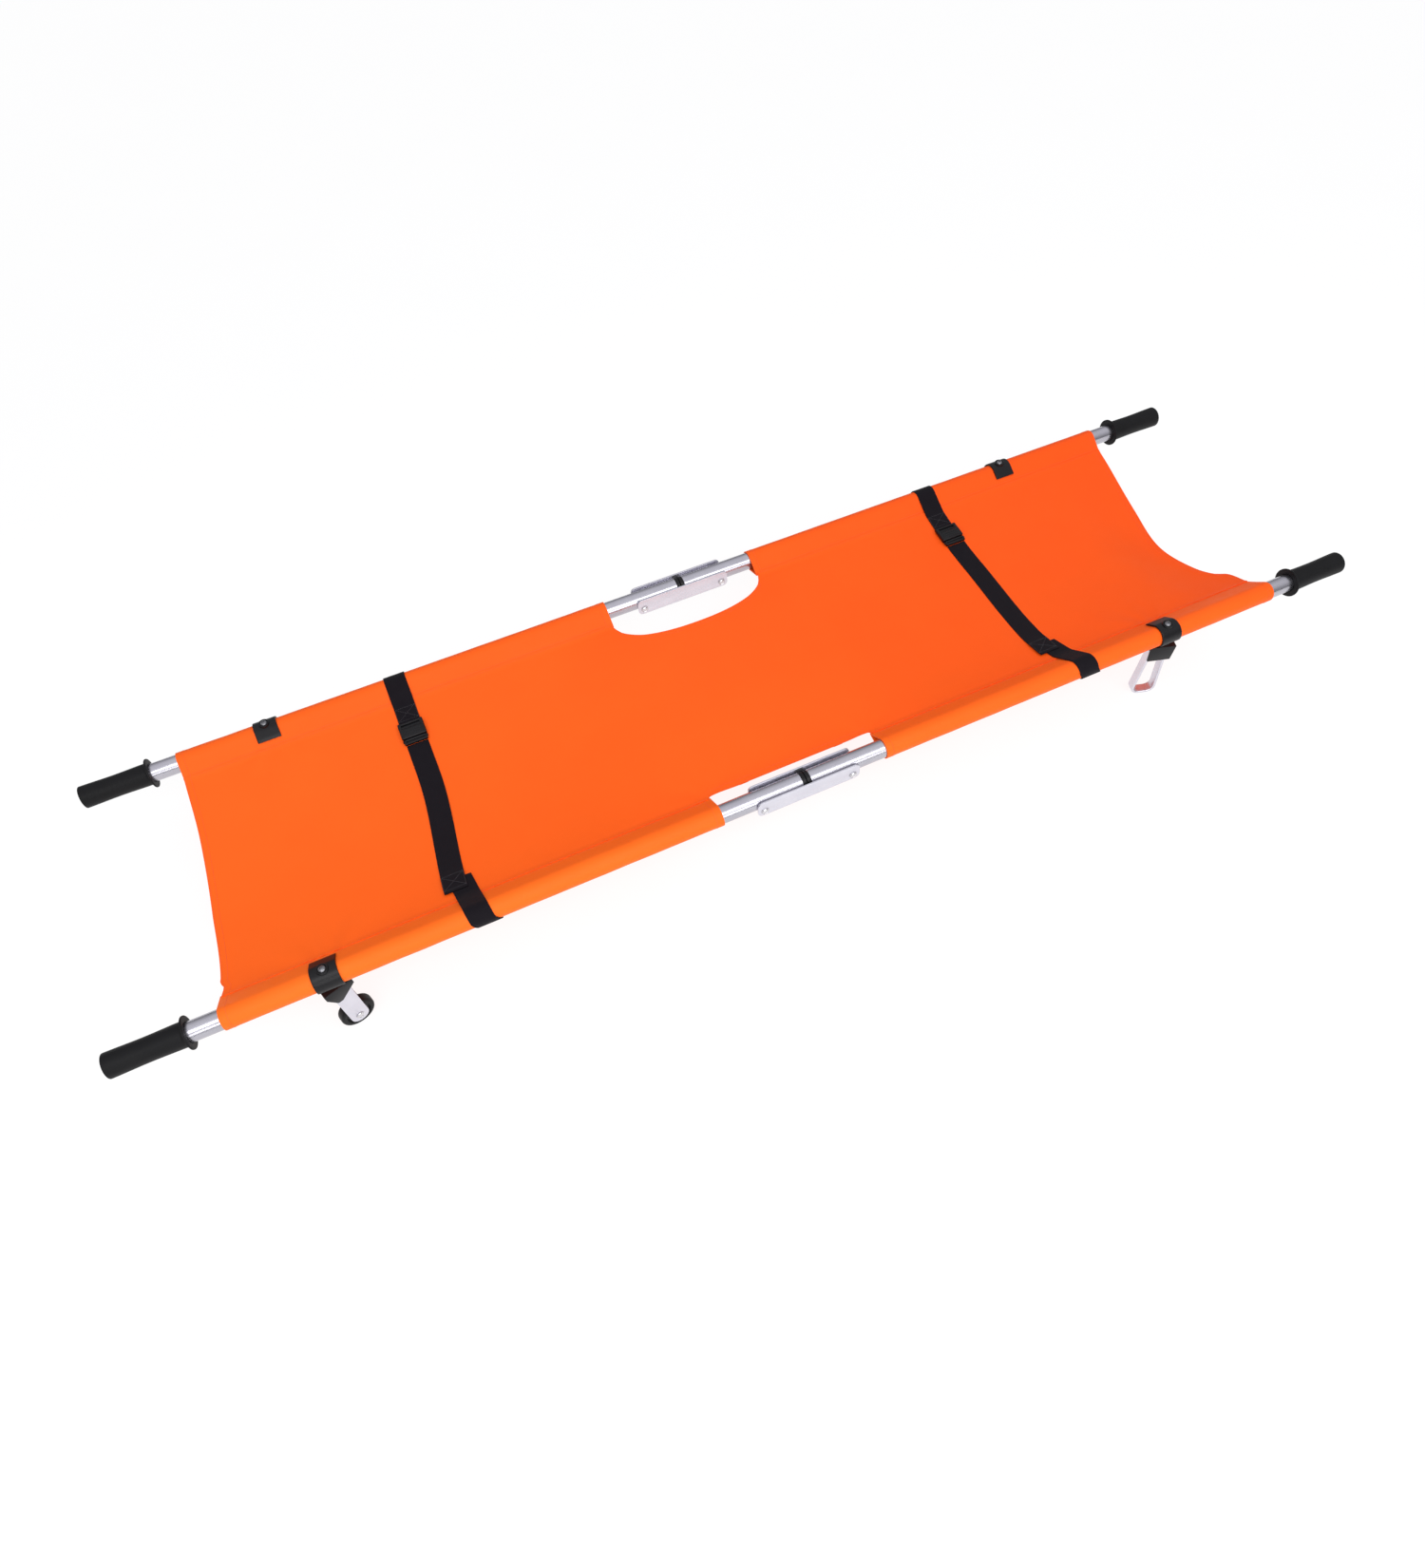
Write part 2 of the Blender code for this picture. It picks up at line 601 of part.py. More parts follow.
def make_link(sx, sy):
    """Half of a spreader bar: a flat bar with a round end at the knee and a stud into the bracket."""
    end, side = side_name(sx, sy)
    x = bolt_x(sx)
    start = sy * (POLE_Y - LINK_START)
    corners = [(x + LINK_HALF, start), (x - LINK_HALF, start)]
    tip = arc_points((x, 0), LINK_HALF, math.pi, 2 * math.pi, 12)
    outline = corners + [(a, sy * b) for a, b in tip]
    low = AXIS_Z + link_top(sy) - LINK_THICK
    bm = prism([Vector((a, b, low)) for a, b in outline], Vector((0, 0, LINK_THICK)))
    bolt = Vector((x, sy * POLE_Y, AXIS_Z))
    link = add_object(f"spreader_link_{end}_{side}", bm, "aluminium", bolt)
    stud = rod(STUD_R, Vector((0, 0, 1)), world(x, sy, STUD_X, link_top(sy)), -LINK_THICK / 2, STUD_HEIGHT)
    combine(link, helper(f"stud_{end}_{side}", stud, bolt), "UNION")
    knee = Vector((x, 0, AXIS_Z))
    hole = rod(KNEE_R + GAP, Vector((0, 0, 1)), knee, -3 * TUBE_R - LINK_THICK, 0)
    combine(link, helper(f"knee_hole_{end}_{side}", hole, knee), "DIFFERENCE")


def make_knee_pin(sx):
    """The rivet on which the two links of a spreader bar fold."""
    top = link_top(1) + GAP
    bottom = link_top(-1) - LINK_THICK - GAP
    profile = [(bottom - KNEE_HEAD, 0), (bottom - KNEE_HEAD, KNEE_HEAD_R), (bottom, KNEE_HEAD_R)]
    profile += [(bottom, KNEE_R), (top, KNEE_R), (top, KNEE_HEAD_R), (top + KNEE_HEAD, KNEE_HEAD_R)]
    profile.append((top + KNEE_HEAD, 0))
    knee = Vector((bolt_x(sx), 0, AXIS_Z))
    bm = turned(profile, Vector((0, 0, 1)), knee, False)
    add_object(f"knee_pin_{end_name(sx)}", bm, "steel", knee)


def make_fork_leg(sy):
    """A channel leg whose web is cut away at the bottom to let the wheel in between its flanges."""
    side = pole_name(sy)
    hub = WHEEL_R - AXIS_Z
    half = FORK_HALF_WIDTH
    outline = [(half, LEG_TOP), (-half, LEG_TOP)]
    outline += arc_points((0, hub), half, math.pi, 2 * math.pi, 12)
    face = [Vector((x, -FORK_HALF_DEPTH, z)) for x, z in outline]
    bm = leg_frame(prism(face, Vector((0, 2 * FORK_HALF_DEPTH, 0))), -1, sy)
    bolt = Vector((WHEEL_SIDE_X, sy * POLE_Y, AXIS_Z))
    fork = add_object(f"wheel_leg_{side}", bm, "aluminium", bolt)
    inner = FORK_HALF_DEPTH - FORK_FLANGE
    channel = box((FORK_FLANGE - half, -inner, -AXIS_Z), (half * 2, inner, 0))
    combine(fork, helper(f"leg_channel_{side}", leg_frame(channel, -1, sy), bolt), "DIFFERENCE")
    window = box((-2 * half, -inner, -AXIS_Z), (half * 2, inner, FORK_WEB_END))
    combine(fork, helper(f"leg_window_{side}", leg_frame(window, -1, sy), bolt), "DIFFERENCE")
    hole = rod(AXLE_R + GAP, Vector((0, 1, 0)), Vector((0, 0, hub)), -2 * half, 2 * half)
    combine(fork, helper(f"axle_hole_{side}", leg_frame(hole, -1, sy), bolt), "DIFFERENCE")


def make_wheel(sy):
    """A solid wheel with a rounded tread and a raised hub, and the axle rivet that it turns on."""
    side = pole_name(sy)
    hub = Vector((WHEEL_SIDE_X, sy * POLE_Y, WHEEL_R))
    axis = toe_turn(-1, sy) @ Vector((0, 1, 0))
    bore = AXLE_R + GAP
    half = [(0, WHEEL_R), (WHEEL_HALF - WHEEL_CHAMFER, WHEEL_R), (WHEEL_HALF, WHEEL_R - WHEEL_CHAMFER)]
    half += [(WHEEL_HALF, bore)]
    profile = [(-along, radius) for along, radius in half[:0:-1]] + half[1:]
    bm = turned(profile, axis, hub, True, FINE_ROUND)
    add_object(f"wheel_{side}", bm, "black_rubber", hub)
    face = FORK_HALF_DEPTH + GAP
    pin = [(face, AXLE_R), (face, AXLE_HEAD_R), (face + AXLE_HEAD / 2, AXLE_HEAD_R)]
    pin += [(face + AXLE_HEAD, AXLE_R), (face + AXLE_HEAD, 0)]
    both = [(-along, radius) for along, radius in pin[::-1]] + pin
    bm = turned(both, axis, hub, False)
    add_object(f"wheel_axle_{side}", bm, "steel", hub)


def make_loop_leg(sy):
    """A flat bar bent to a narrow loop that stands on the small flat at its foot."""
    side = pole_name(sy)
    foot = -AXIS_Z
    bend = LOOP_FOOT_HALF - LOOP_FLAT_HALF
    centre = (LOOP_FLAT_HALF, foot + bend)
    corner = arc_points(centre, bend, math.radians(-90), math.radians(2), 9)
    right = corner + [(LOOP_TOP_HALF, LEG_TOP)]
    path = [(-x, z) for x, z in right[::-1]] + right
    outline = thickened(path, LOOP_BAR)
    face = [Vector((x, -LOOP_HALF_DEPTH, z)) for x, z in outline]
    bm = leg_frame(prism(face, Vector((0, 2 * LOOP_HALF_DEPTH, 0))), 1, sy)
    bolt = Vector((FOOT_SIDE_X, sy * POLE_Y, AXIS_Z))
    add_object(f"loop_leg_{side}", bm, "aluminium", bolt)


def belt_height(x, inboard):
    """Height over the pole axes of the underside of a belt lying on the sheet."""
    return sheet_height(x, POLE_Y - inboard) + SHEET_THICK / 2 + 2 * GAP


def belt_loop_path(x, first, last):
    """From the sheet up over the sleeve, round the pole and back under the sleeve to the seam."""
    lift = (SLEEVE_R + 2 * GAP) / SLEEVE_R
    turn = arc_points((0, 0), lift * SLEEVE_R, UPPER, LOWER, SECTION_POINTS)
    rise = SEAM_IN + BELT_RISE
    count = max(2, round(abs(first - last) / BELT_STEP))
    flat = [first + (last - first) * i / count for i in range(count + 1)]
    path = [(u, belt_height(x, u)) for u in flat + [rise]] + turn
    tail = Vector(turn[-1]).lerp(lift * SEAM, BELT_TAIL_SHARE)
    return path + [tuple(tail)]


def make_belt(number, x):
    """A belt: a long strap looped round the front pole, a buckle, and a short loop on the rear pole."""
    bolt_side = 2 * number - 1
    label = end_name(bolt_side)
    strap_first = 2 * POLE_Y - BUCKLE_IN - BUCKLE_GAP - PLUG_REACH
    strap_last = SEAM_IN + BELT_FLAT_END
    loop_first = BUCKLE_IN - SOCKET_LENGTH - BUCKLE_GAP
    for name, sy, first in (("belt_strap", -1, strap_first), ("belt_rear_loop", 1, loop_first)):
        path = belt_loop_path(x, first, strap_last)
        outline = thickened(path, -WEBBING)
        face = [world(x - BELT_HALF, sy, u, z) for u, z in outline]
        bm = prism(face, Vector((2 * BELT_HALF, 0, 0)))
        add_object(f"{name}_{label}", bm, "black_webbing", pin_point(bolt_side, sy))
    make_buckle(label, x)


def make_buckle(label, x):
    """The two halves of the side-release buckle, tilted to lie on the sheet."""
    outer = BUCKLE_IN - SOCKET_LENGTH
    inner = BUCKLE_IN + PLUG_REACH
    slope = (belt_height(x, inner) - belt_height(x, outer)) / (inner - outer)
    rest = belt_height(x, outer) + GAP
    pieces = (
        ("buckle_socket", outer, BUCKLE_IN, SOCKET_HALF, SOCKET_THICK),
        ("buckle_plug", BUCKLE_IN + GAP, inner, PLUG_HALF, PLUG_THICK),
    )
    for name, start, stop, half, thick in pieces:
        chamfer = half * BUCKLE_CHAMFER
        outline = [
            (-half + chamfer, start),
            (half - chamfer, start),
            (half, start + chamfer),
            (half, stop - chamfer / 2),
            (half - chamfer / 2, stop),
            (-half + chamfer / 2, stop),
            (-half, stop - chamfer / 2),
            (-half, start + chamfer),
        ]
        face = [world(x + a, 1, u, rest + slope * (u - outer)) for a, u in outline]
        bm = prism(face, Vector((0, 0, thick)))
        add_object(f"{name}_{label}", bm, "black_plastic", world(x, 1, BUCKLE_IN, rest))


def main():
    clear_scene()
    for sy in (-1, 1):
        make_channel(sy)
        make_fork_leg(sy)
        make_wheel(sy)
        make_loop_leg(sy)
        for sx in (-1, 1):
            for make in (make_pin, make_pole, make_end_plug, make_grip, make_sleeve):
                make(sx, sy)
            for make in (make_saddle, make_bolt, make_bracket, make_link):
                make(sx, sy)
    for sx in (-1, 1):
        make_knee_pin(sx)
    make_sheets()
    for number, x in enumerate(BELT_X):
        make_belt(number, x)


main()
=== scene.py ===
"""The looks of the folding stretcher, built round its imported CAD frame.

Frame: metres. +X runs along the poles towards the loop-foot end, +Y towards the rear pole, +Z up.
Places beside a pole are often given as (inboard, height): the distance from the pole's axis
towards the middle of the deck, and the height over that axis.
"""

import math

import bmesh
import bpy
from mathutils import Matrix, Vector, noise


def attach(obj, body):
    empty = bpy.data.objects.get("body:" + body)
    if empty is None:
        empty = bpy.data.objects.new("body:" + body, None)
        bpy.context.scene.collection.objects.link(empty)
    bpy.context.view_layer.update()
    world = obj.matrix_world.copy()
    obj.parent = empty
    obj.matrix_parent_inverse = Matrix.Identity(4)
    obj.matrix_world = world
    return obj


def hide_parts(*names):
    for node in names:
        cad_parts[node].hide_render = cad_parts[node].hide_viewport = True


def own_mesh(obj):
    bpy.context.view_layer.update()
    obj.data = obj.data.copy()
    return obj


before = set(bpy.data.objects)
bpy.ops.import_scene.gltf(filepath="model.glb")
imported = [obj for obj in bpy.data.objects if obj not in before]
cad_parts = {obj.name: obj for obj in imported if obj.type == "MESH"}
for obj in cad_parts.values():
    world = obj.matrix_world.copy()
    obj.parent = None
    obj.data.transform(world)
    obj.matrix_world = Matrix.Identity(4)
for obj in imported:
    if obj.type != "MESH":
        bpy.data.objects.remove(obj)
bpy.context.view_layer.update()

# Frame sizes, as in the CAD model
HALF_LENGTH = 1.100
POLE_Y = 0.258
AXIS_Z = 0.150
TUBE_R = 0.016
TUBE_WALL = 0.002
TUBE_START = 0.0073
TUBE_END = 1.0947
PLUG_START = 0.0005
PLUG_END = 0.0070
PIN_X = 0.080
PIN_DROP = 0.009
CHANNEL_OUTER = 0.020
PIN_R = 0.003
PLUG_STUB = 0.022
SLIDE_GAP = 0.0003
GRIP_START = 0.985
GRIP_R = 0.0195
GRIP_FLANGE_R = 0.026
GRIP_FLANGE = 0.003
GRIP_CAP = 0.005
GRIP_WAIST = 0.0009
WHEEL_R = 0.0275
AXLE_SEAT = 0.0130
AXLE_R = 0.0040
AXLE_HEAD_R = 0.0065
AXLE_HEAD = 0.0021
BOLT_R = 0.003
BOLT_TIP = -0.0284
BOLT_HEAD_R = 0.0060
BOLT_HEAD = 0.0040
KNEE_LOW = -0.0516
KNEE_HIGH = -0.0377
KNEE_R = 0.004
KNEE_HEAD_R = 0.008
KNEE_HEAD = 0.002
WHEEL_SIDE_X = -0.785
FOOT_SIDE_X = 0.713
LEG_TOE = math.radians(18.0)

# Hinge rivet heads, a little larger than in the CAD model
RIVET_HEAD_R = 0.0068
RIVET_HEAD = 0.0030

# Loop feet: bent flat bar
LOOP_TOP = -0.0293
LOOP_BAR = 0.005
LOOP_HALF_DEPTH = 0.009
LOOP_TOP_HALF = 0.0155
LOOP_FOOT_HALF = 0.0225
LOOP_FLAT_HALF = 0.007
LOOP_FLARE = 0.0069

# Cover
COVER_END = 0.938
SLEEVE_R = 0.018
WRAP_GAP = 0.0006
SEAM_IN = 0.041
SEAM_DROP = 0.006
HALF_DECK = POLE_Y - SEAM_IN
CUTOUT_LEFT = -0.150
CUTOUT_RIGHT = 0.145
FRONT_CUTOUT_DEPTH = 0.0445
FRONT_CUTOUT_POWER = 6.0
REAR_CUTOUT_DEPTH = 0.098
REAR_CUTOUT_POWER = 2.2
CLOTH = 0.0012
HEM = 0.014
HEM_EXTRA = 0.0007
SHEET_SAG = 0.025
SHEET_EDGE_LIFT = 0.001
MIDDLE_DROP = 0.0022
MIDDLE_RUN = 0.045
SAG_START = 0.100
SAG_RUN = 0.250
FOOT_END_SAG = 0.014
FOOT_END_SAG_START = 0.760
FOOT_END_SAG_RUN = 0.150
END_RUN = 0.200
# Cut of the cover's two ends: (y, how far it is cut back)
FOOT_END_CUT = (
    (-0.217, 0.008), (-0.181, 0.011), (-0.166, 0.028), (-0.130, 0.041),
    (-0.045, 0.047), (0.065, 0.021), (0.165, 0.005), (0.217, 0.002),
)
WHEEL_END_CUT = (
    (-0.217, -0.003), (-0.203, -0.006), (-0.188, 0.002),
    (-0.060, 0.000), (0.100, -0.002), (0.217, 0.000),
)
SLEEVE_CUT = 0.008
REAR_SLEEVE_CUT = 0.002
LAP = 0.0045
LAP_SLOPE = 0.676
COVER_STEP = 0.006
MIDDLE_STEP = 0.005
FLAP_STEP = 0.002
FADE_RUN = 0.03
SEWN_LINE = 2
PANEL_JOIN = 0.0890
FLAP_END = 0.0790
FLAP_DROP = 0.0016

# Belts
BELT_X = (-0.555, 0.535)
BELT_HALF = 0.019
WEBBING = 0.0015
BUCKLE_IN = 0.118
PLUG_IN = 0.129
SOCKET_OUT = 0.084
FRONT_TAIL_IN = 0.058
LOOP_END_IN = 0.084
LOOP_SPLIT_IN = 0.047
BELT_STEP = 0.005
BELT_REST = 0.0007
BELT_STITCH = 0.0030
BELT_THREAD_R = 0.00032

THREAD_R = 0.00028
STITCH = 0.0036
SMOOTH_ANGLE = math.radians(38.0)


# --- materials


def add_node(material, kind, inputs=None, **settings):
    """Add a shader node. Each input is either a plain value or the socket that feeds it."""
    tree = material.node_tree
    made = tree.nodes.new("ShaderNode" + kind)
    for name, value in settings.items():
        setattr(made, name, value)
    for key, value in (inputs or {}).items():
        if isinstance(value, bpy.types.NodeSocket):
            tree.links.new(value, made.inputs[key])
        else:
            made.inputs[key].default_value = value
    return made


def principled(name, **values):
    """A Principled material with its constant values set straight on the shader."""
    material = bpy.data.materials.new(name)
    material.use_nodes = True
    shader = material.node_tree.nodes["Principled BSDF"]
    for key, value in values.items():
        shader.inputs[key.replace("_", " ")].default_value = value
    return material


def feed(material, key, source):
    """Let a socket drive one of the shader's inputs."""
    shader = material.node_tree.nodes["Principled BSDF"]
    material.node_tree.links.new(source, shader.inputs[key])


def noise_of(material, coords, scale, detail=3.0, roughness=0.5):
    inputs = {"Vector": coords, "Scale": scale, "Detail": detail, "Roughness": roughness}
    return add_node(material, "TexNoise", inputs).outputs["Fac"]


def spread(material, value, low, high, start=0.0, stop=1.0):
    """Map a value from the range start to stop, mostly 0 to 1, to the range from low to high."""
    inputs = {"Value": value, "From Min": start, "From Max": stop, "To Min": low, "To Max": high}
    return add_node(material, "MapRange", inputs).outputs["Result"]


def maths(material, operation, first, second):
    return add_node(material, "Math", {0: first, 1: second}, operation=operation).outputs[0]


def bump(material, height, strength, distance, normal=None):
    inputs = {"Height": height, "Strength": strength, "Distance": distance}
    if normal is not None:
        inputs["Normal"] = normal
    return add_node(material, "Bump", inputs).outputs["Normal"]


def mix_colours(material, factor, first, second):
    inputs = {"Factor": factor, 6: (*first, 1.0), 7: (*second, 1.0)}
    return add_node(material, "Mix", inputs, data_type="RGBA").outputs[2]


def threads(material, coords, axis, pitch):
    """Round threads side by side along one axis of the cloth, at the given pitch in metres."""
    inputs = {"Vector": coords, "Scale": 2 * math.pi / (20 * pitch), "Distortion": 0.0}
    return add_node(material, "TexWave", inputs, bands_direction=axis).outputs["Fac"]


def coordinates(material):
    """The weave's layout in metres, and the place in the object."""
    outputs = add_node(material, "TexCoord").outputs
    return outputs["UV"], outputs["Object"]


def orange_cloth(name, pale, deep):
    """Coated polyester: a fine plain weave, soft creases, random tone, and slow painted shading along the
    deck, lighter at the wheel end and darker towards the foot end.
    """
    material = principled(
        name,
        Roughness=0.52,
        Sheen_Weight=0.12,
        Sheen_Roughness=0.40,
        Sheen_Tint=(1.0, 0.42, 0.16, 1.0),
        Specular_IOR_Level=0.15,
    )
    cloth_uv, place = coordinates(material)
    along = add_node(material, "SeparateXYZ", {"Vector": place}).outputs["X"]
    # Painted shading: the colour darkens slowly from the wheel end towards the foot end, standing in for the
    # fall of light along the deck.
    painted_light_drift = spread(material, along, 0.0, 0.8, -0.9, 0.9)
    mottle = spread(material, noise_of(material, place, 7.0, 4.0), -0.18, 0.18)
    factor = maths(material, "ADD", painted_light_drift, mottle)
    base = mix_colours(material, factor, pale, deep)
    warp = threads(material, cloth_uv, "X", 0.0009)
    weft = threads(material, cloth_uv, "Y", 0.0009)
    weave = maths(material, "MULTIPLY", warp, weft)
    shade = spread(material, weave, 0.94, 1.03)
    tinted = add_node(material, "VectorMath", {0: base, "Scale": shade}, operation="SCALE").outputs[0]
    feed(material, "Base Color", tinted)
    wear = noise_of(material, place, 38.0, 5.0)
    feed(material, "Roughness", spread(material, wear, 0.46, 0.62))
    soft = bump(material, noise_of(material, place, 16.0), 0.45, 0.0020)
    fine = bump(material, weave, 0.35, 0.00016, soft)
    feed(material, "Normal", fine)
    return material


def thread_of(name, dark, light):
    """Sewing thread with fine light and dark specks."""
    material = principled(name, Roughness=0.6, Sheen_Weight=0.2)
    _, place = coordinates(material)
    colour = mix_colours(material, noise_of(material, place, 900.0), dark, light)
    feed(material, "Base Color", colour)
    return material


def black_webbing():
    """Woven belt: ribs across the belt, two thicker edge cords and a dusty sheen."""
    material = principled(
        "black_webbing_weave",
        Roughness=0.72,
        Sheen_Weight=0.03,
        Sheen_Roughness=0.5,
        Specular_IOR_Level=0.12,
    )
    cloth_uv, place = coordinates(material)
    ribs = threads(material, cloth_uv, "X", 0.0016)
    cords = threads(material, cloth_uv, "Y", 0.0024)
    weave = maths(material, "MULTIPLY", ribs, spread(material, cords, 0.6, 1.0))
    colour = mix_colours(material, weave, (0.0026, 0.0018, 0.0034), (0.0105, 0.0075, 0.0120))
    dust = noise_of(material, place, 60.0, 4.0)
    feed(material, "Base Color", colour)
    feed(material, "Roughness", spread(material, dust, 0.62, 0.85))
    feed(material, "Normal", bump(material, weave, 0.6, 0.0004))
    return material


def moulded(name, dark, light, low, high, grain, depth, gloss):
    """Moulded plastic or rubber: a fine grain, and slightly polished and dusty patches."""
    material = principled(name, Roughness=low, Specular_IOR_Level=gloss)
    _, place = coordinates(material)
    patches = noise_of(material, place, 34.0, 4.0)
    feed(material, "Base Color", mix_colours(material, patches, dark, light))
    feed(material, "Roughness", spread(material, patches, low, high))
    grains = noise_of(material, place, grain, 2.0)
    feed(material, "Normal", bump(material, grains, 0.35, depth))
    return material


def metal(name, dark, light, low, high, lines, depth):
    """Metal with drawn lines along X, slight stains, and scuffs that change its gloss."""
    material = principled(name, Metallic=1.0, Roughness=low)
    _, place = coordinates(material)
    long_way = add_node(material, "Mapping", {"Vector": place, "Scale": (2.5, lines, lines)})
    drawn = noise_of(material, long_way.outputs["Vector"], 1.0, 4.0)
    stains = noise_of(material, place, 22.0, 5.0, 0.6)
    factor = spread(material, stains, -0.1, 1.0)
    feed(material, "Base Color", mix_colours(material, factor, dark, light))
    gloss = maths(material, "ADD", spread(material, drawn, low, high), spread(material, stains, -0.04, 0.04))
    feed(material, "Roughness", gloss)
    feed(material, "Normal", bump(material, drawn, 0.12, depth))
    return material


def make_materials():
    return {
        "cloth": orange_cloth("orange_cloth", (1.0, 0.130, 0.008), (1.0, 0.086, 0.004)),
        # A lighter copy of the cloth for the front sleeves: a painted highlight where the front light falls
        # on their outer side.
        "sleeve": orange_cloth("orange_cloth_painted_front_highlight", (1.0, 0.160, 0.011), (1.0, 0.106, 0.005)),
        "thread": thread_of("orange_thread", (0.72, 0.045, 0.006), (0.95, 0.10, 0.012)),
        "webbing": black_webbing(),
        "black_thread": thread_of("black_thread", (0.020, 0.018, 0.024), (0.045, 0.04, 0.05)),
        "plastic": moulded(
            "black_plastic_grain", (0.003, 0.003, 0.004), (0.008, 0.0075, 0.009),
            0.30, 0.44, 900.0, 0.0001, 0.25,
        ),
        "rubber": moulded(
            "black_rubber_grain", (0.004, 0.004, 0.0045), (0.009, 0.009, 0.010),
            0.46, 0.62, 700.0, 0.00018, 0.16,
        ),
        "tyre": moulded(
            "tyre_rubber_grain", (0.003, 0.003, 0.0035), (0.008, 0.008, 0.0085),
            0.40, 0.56, 500.0, 0.0002, 0.20,
        ),
        "aluminium": metal(
            "polished_aluminium", (0.42, 0.41, 0.46), (0.60, 0.59, 0.64), 0.20, 0.32, 900.0, 0.00004
        ),
        "satin": metal("satin_aluminium", (0.66, 0.65, 0.72), (0.80, 0.79, 0.85), 0.40, 0.54, 700.0, 0.00005),
        "bolt": metal("dull_bolt_steel", (0.16, 0.16, 0.17), (0.30, 0.30, 0.32), 0.34, 0.46, 300.0, 0.00003),
        "steel": metal("plated_steel", (0.60, 0.59, 0.62), (0.78, 0.77, 0.79), 0.12, 0.24, 300.0, 0.00003),
    }


# --- mesh tools


UP = Vector((0, 0, 1))


def smooth_step(t):
    t = min(max(t, 0.0), 1.0)
    return t * t * (3 - 2 * t)


def at(x, sy, inboard, height):
    return Vector((x, sy * (POLE_Y - inboard), AXIS_Z + height))


def ripple(scale, *place):
    """Smooth noise from -1 to 1 at a point, with the given number of waves to the metre."""
    return noise.noise(Vector(place) * scale)


def run_lengths(points):
    total = [0.0]
    for a, b in zip(points, points[1:]):
        total.append(total[-1] + (b - a).length)
    return total


def spaced(start, stop, step):
    count = max(1, round(abs(stop - start) / step))
    return [start + (stop - start) * i / count for i in range(count + 1)]


def rounding(edge, radius):
    """Share of a plate's full thickness at a distance from its rounded edge."""
    return math.sqrt(max(0.0, 1 - (1 - min(edge / radius, 1.0)) ** 2))


def arc(radius, start, end, count, centre=(0.0, 0.0)):
    step = (end - start) / (count - 1)
    angles = [start + step * i for i in range(count)]
    return [(centre[0] + radius * math.cos(a), centre[1] + radius * math.sin(a)) for a in angles]


def grid_normals(grid):
    rows, columns = len(grid), len(grid[0])
    normals = []
    for i in range(rows):
        line = []
        for j in range(columns):
            along = grid[min(i + 1, rows - 1)][j] - grid[max(i - 1, 0)][j]
            across = grid[i][min(j + 1, columns - 1)] - grid[i][max(j - 1, 0)]
            line.append(along.cross(across).normalized())
        normals.append(line)
    return normals


def band(grid, thickness_at, uv_at=None):
    """A closed sheet of cloth or webbing about a grid of points, with its weave laid out in metres."""
    rows, columns = len(grid), len(grid[0])
    normals = grid_normals(grid)
    if uv_at is None:
        down = run_lengths([row[columns // 2] for row in grid])
        over = run_lengths(grid[rows // 2])
    bm = bmesh.new()
    uv = bm.loops.layers.uv.new("cloth")
    layers, places = [], {}
    for side in (0.5, -0.5):
        layer = []
        for i in range(rows):
            line = []
            for j in range(columns):
                offset = side * thickness_at(i, j) * normals[i][j]
                vert = bm.verts.new(grid[i][j] + offset)
                places[vert] = uv_at(i, j) if uv_at else (down[i], over[j])
                line.append(vert)
            layer.append(line)
        layers.append(layer)
    for layer in layers:
        for a, b in zip(layer, layer[1:]):
            for j in range(columns - 1):
                bm.faces.new((a[j], a[j + 1], b[j + 1], b[j]))
    top, bottom = layers
    edges = [(top[0], bottom[0]), (top[-1], bottom[-1])]
    edges += [([row[j] for row in top], [row[j] for row in bottom]) for j in (0, -1)]
    for upper, lower in edges:
        for i in range(len(upper) - 1):
            bm.faces.new((upper[i], upper[i + 1], lower[i + 1], lower[i]))
    for face in bm.faces:
        for loop in face.loops:
            loop[uv].uv = places[loop.vert]
    bmesh.ops.recalc_face_normals(bm, faces=bm.faces)
    return bm


def stitches(path, out, pitch=STITCH, radius=THREAD_R):
    """A row of sewn stitches along a path: short raised thread lengths with gaps between them."""
    bm = bmesh.new()
    lengths = run_lengths(path)
    position, place = 0.0, 0
    while position + 0.7 * pitch < lengths[-1]:
        ends = []
        for target in (position, position + 0.72 * pitch):
            while place < len(lengths) - 2 and lengths[place + 1] < target:
                place += 1
            share = (target - lengths[place]) / max(lengths[place + 1] - lengths[place], 1e-9)
            ends.append((path[place].lerp(path[place + 1], share), out[place].lerp(out[place + 1], share)))
        (first, up), (last, _) = ends
        across = (last - first).cross(up).normalized() * radius
        rings = []
        for share, swell in ((0.0, 0.35), (0.25, 1.0), (0.75, 1.0), (1.0, 0.35)):
            centre = first.lerp(last, share) + up * radius * 0.5 * swell
            lift = up * radius * swell
            ring = [centre + across * swell, centre + lift, centre - across * swell, centre - lift]
            rings.append([bm.verts.new(p) for p in ring])
        for a, b in zip(rings, rings[1:]):
            for k in range(4):
                m = (k + 1) % 4
                bm.faces.new((a[k], a[m], b[m], b[k]))
        bm.faces.new(rings[0])
        bm.faces.new(rings[-1])
        position += pitch
    bmesh.ops.recalc_face_normals(bm, faces=bm.faces)
    return bm


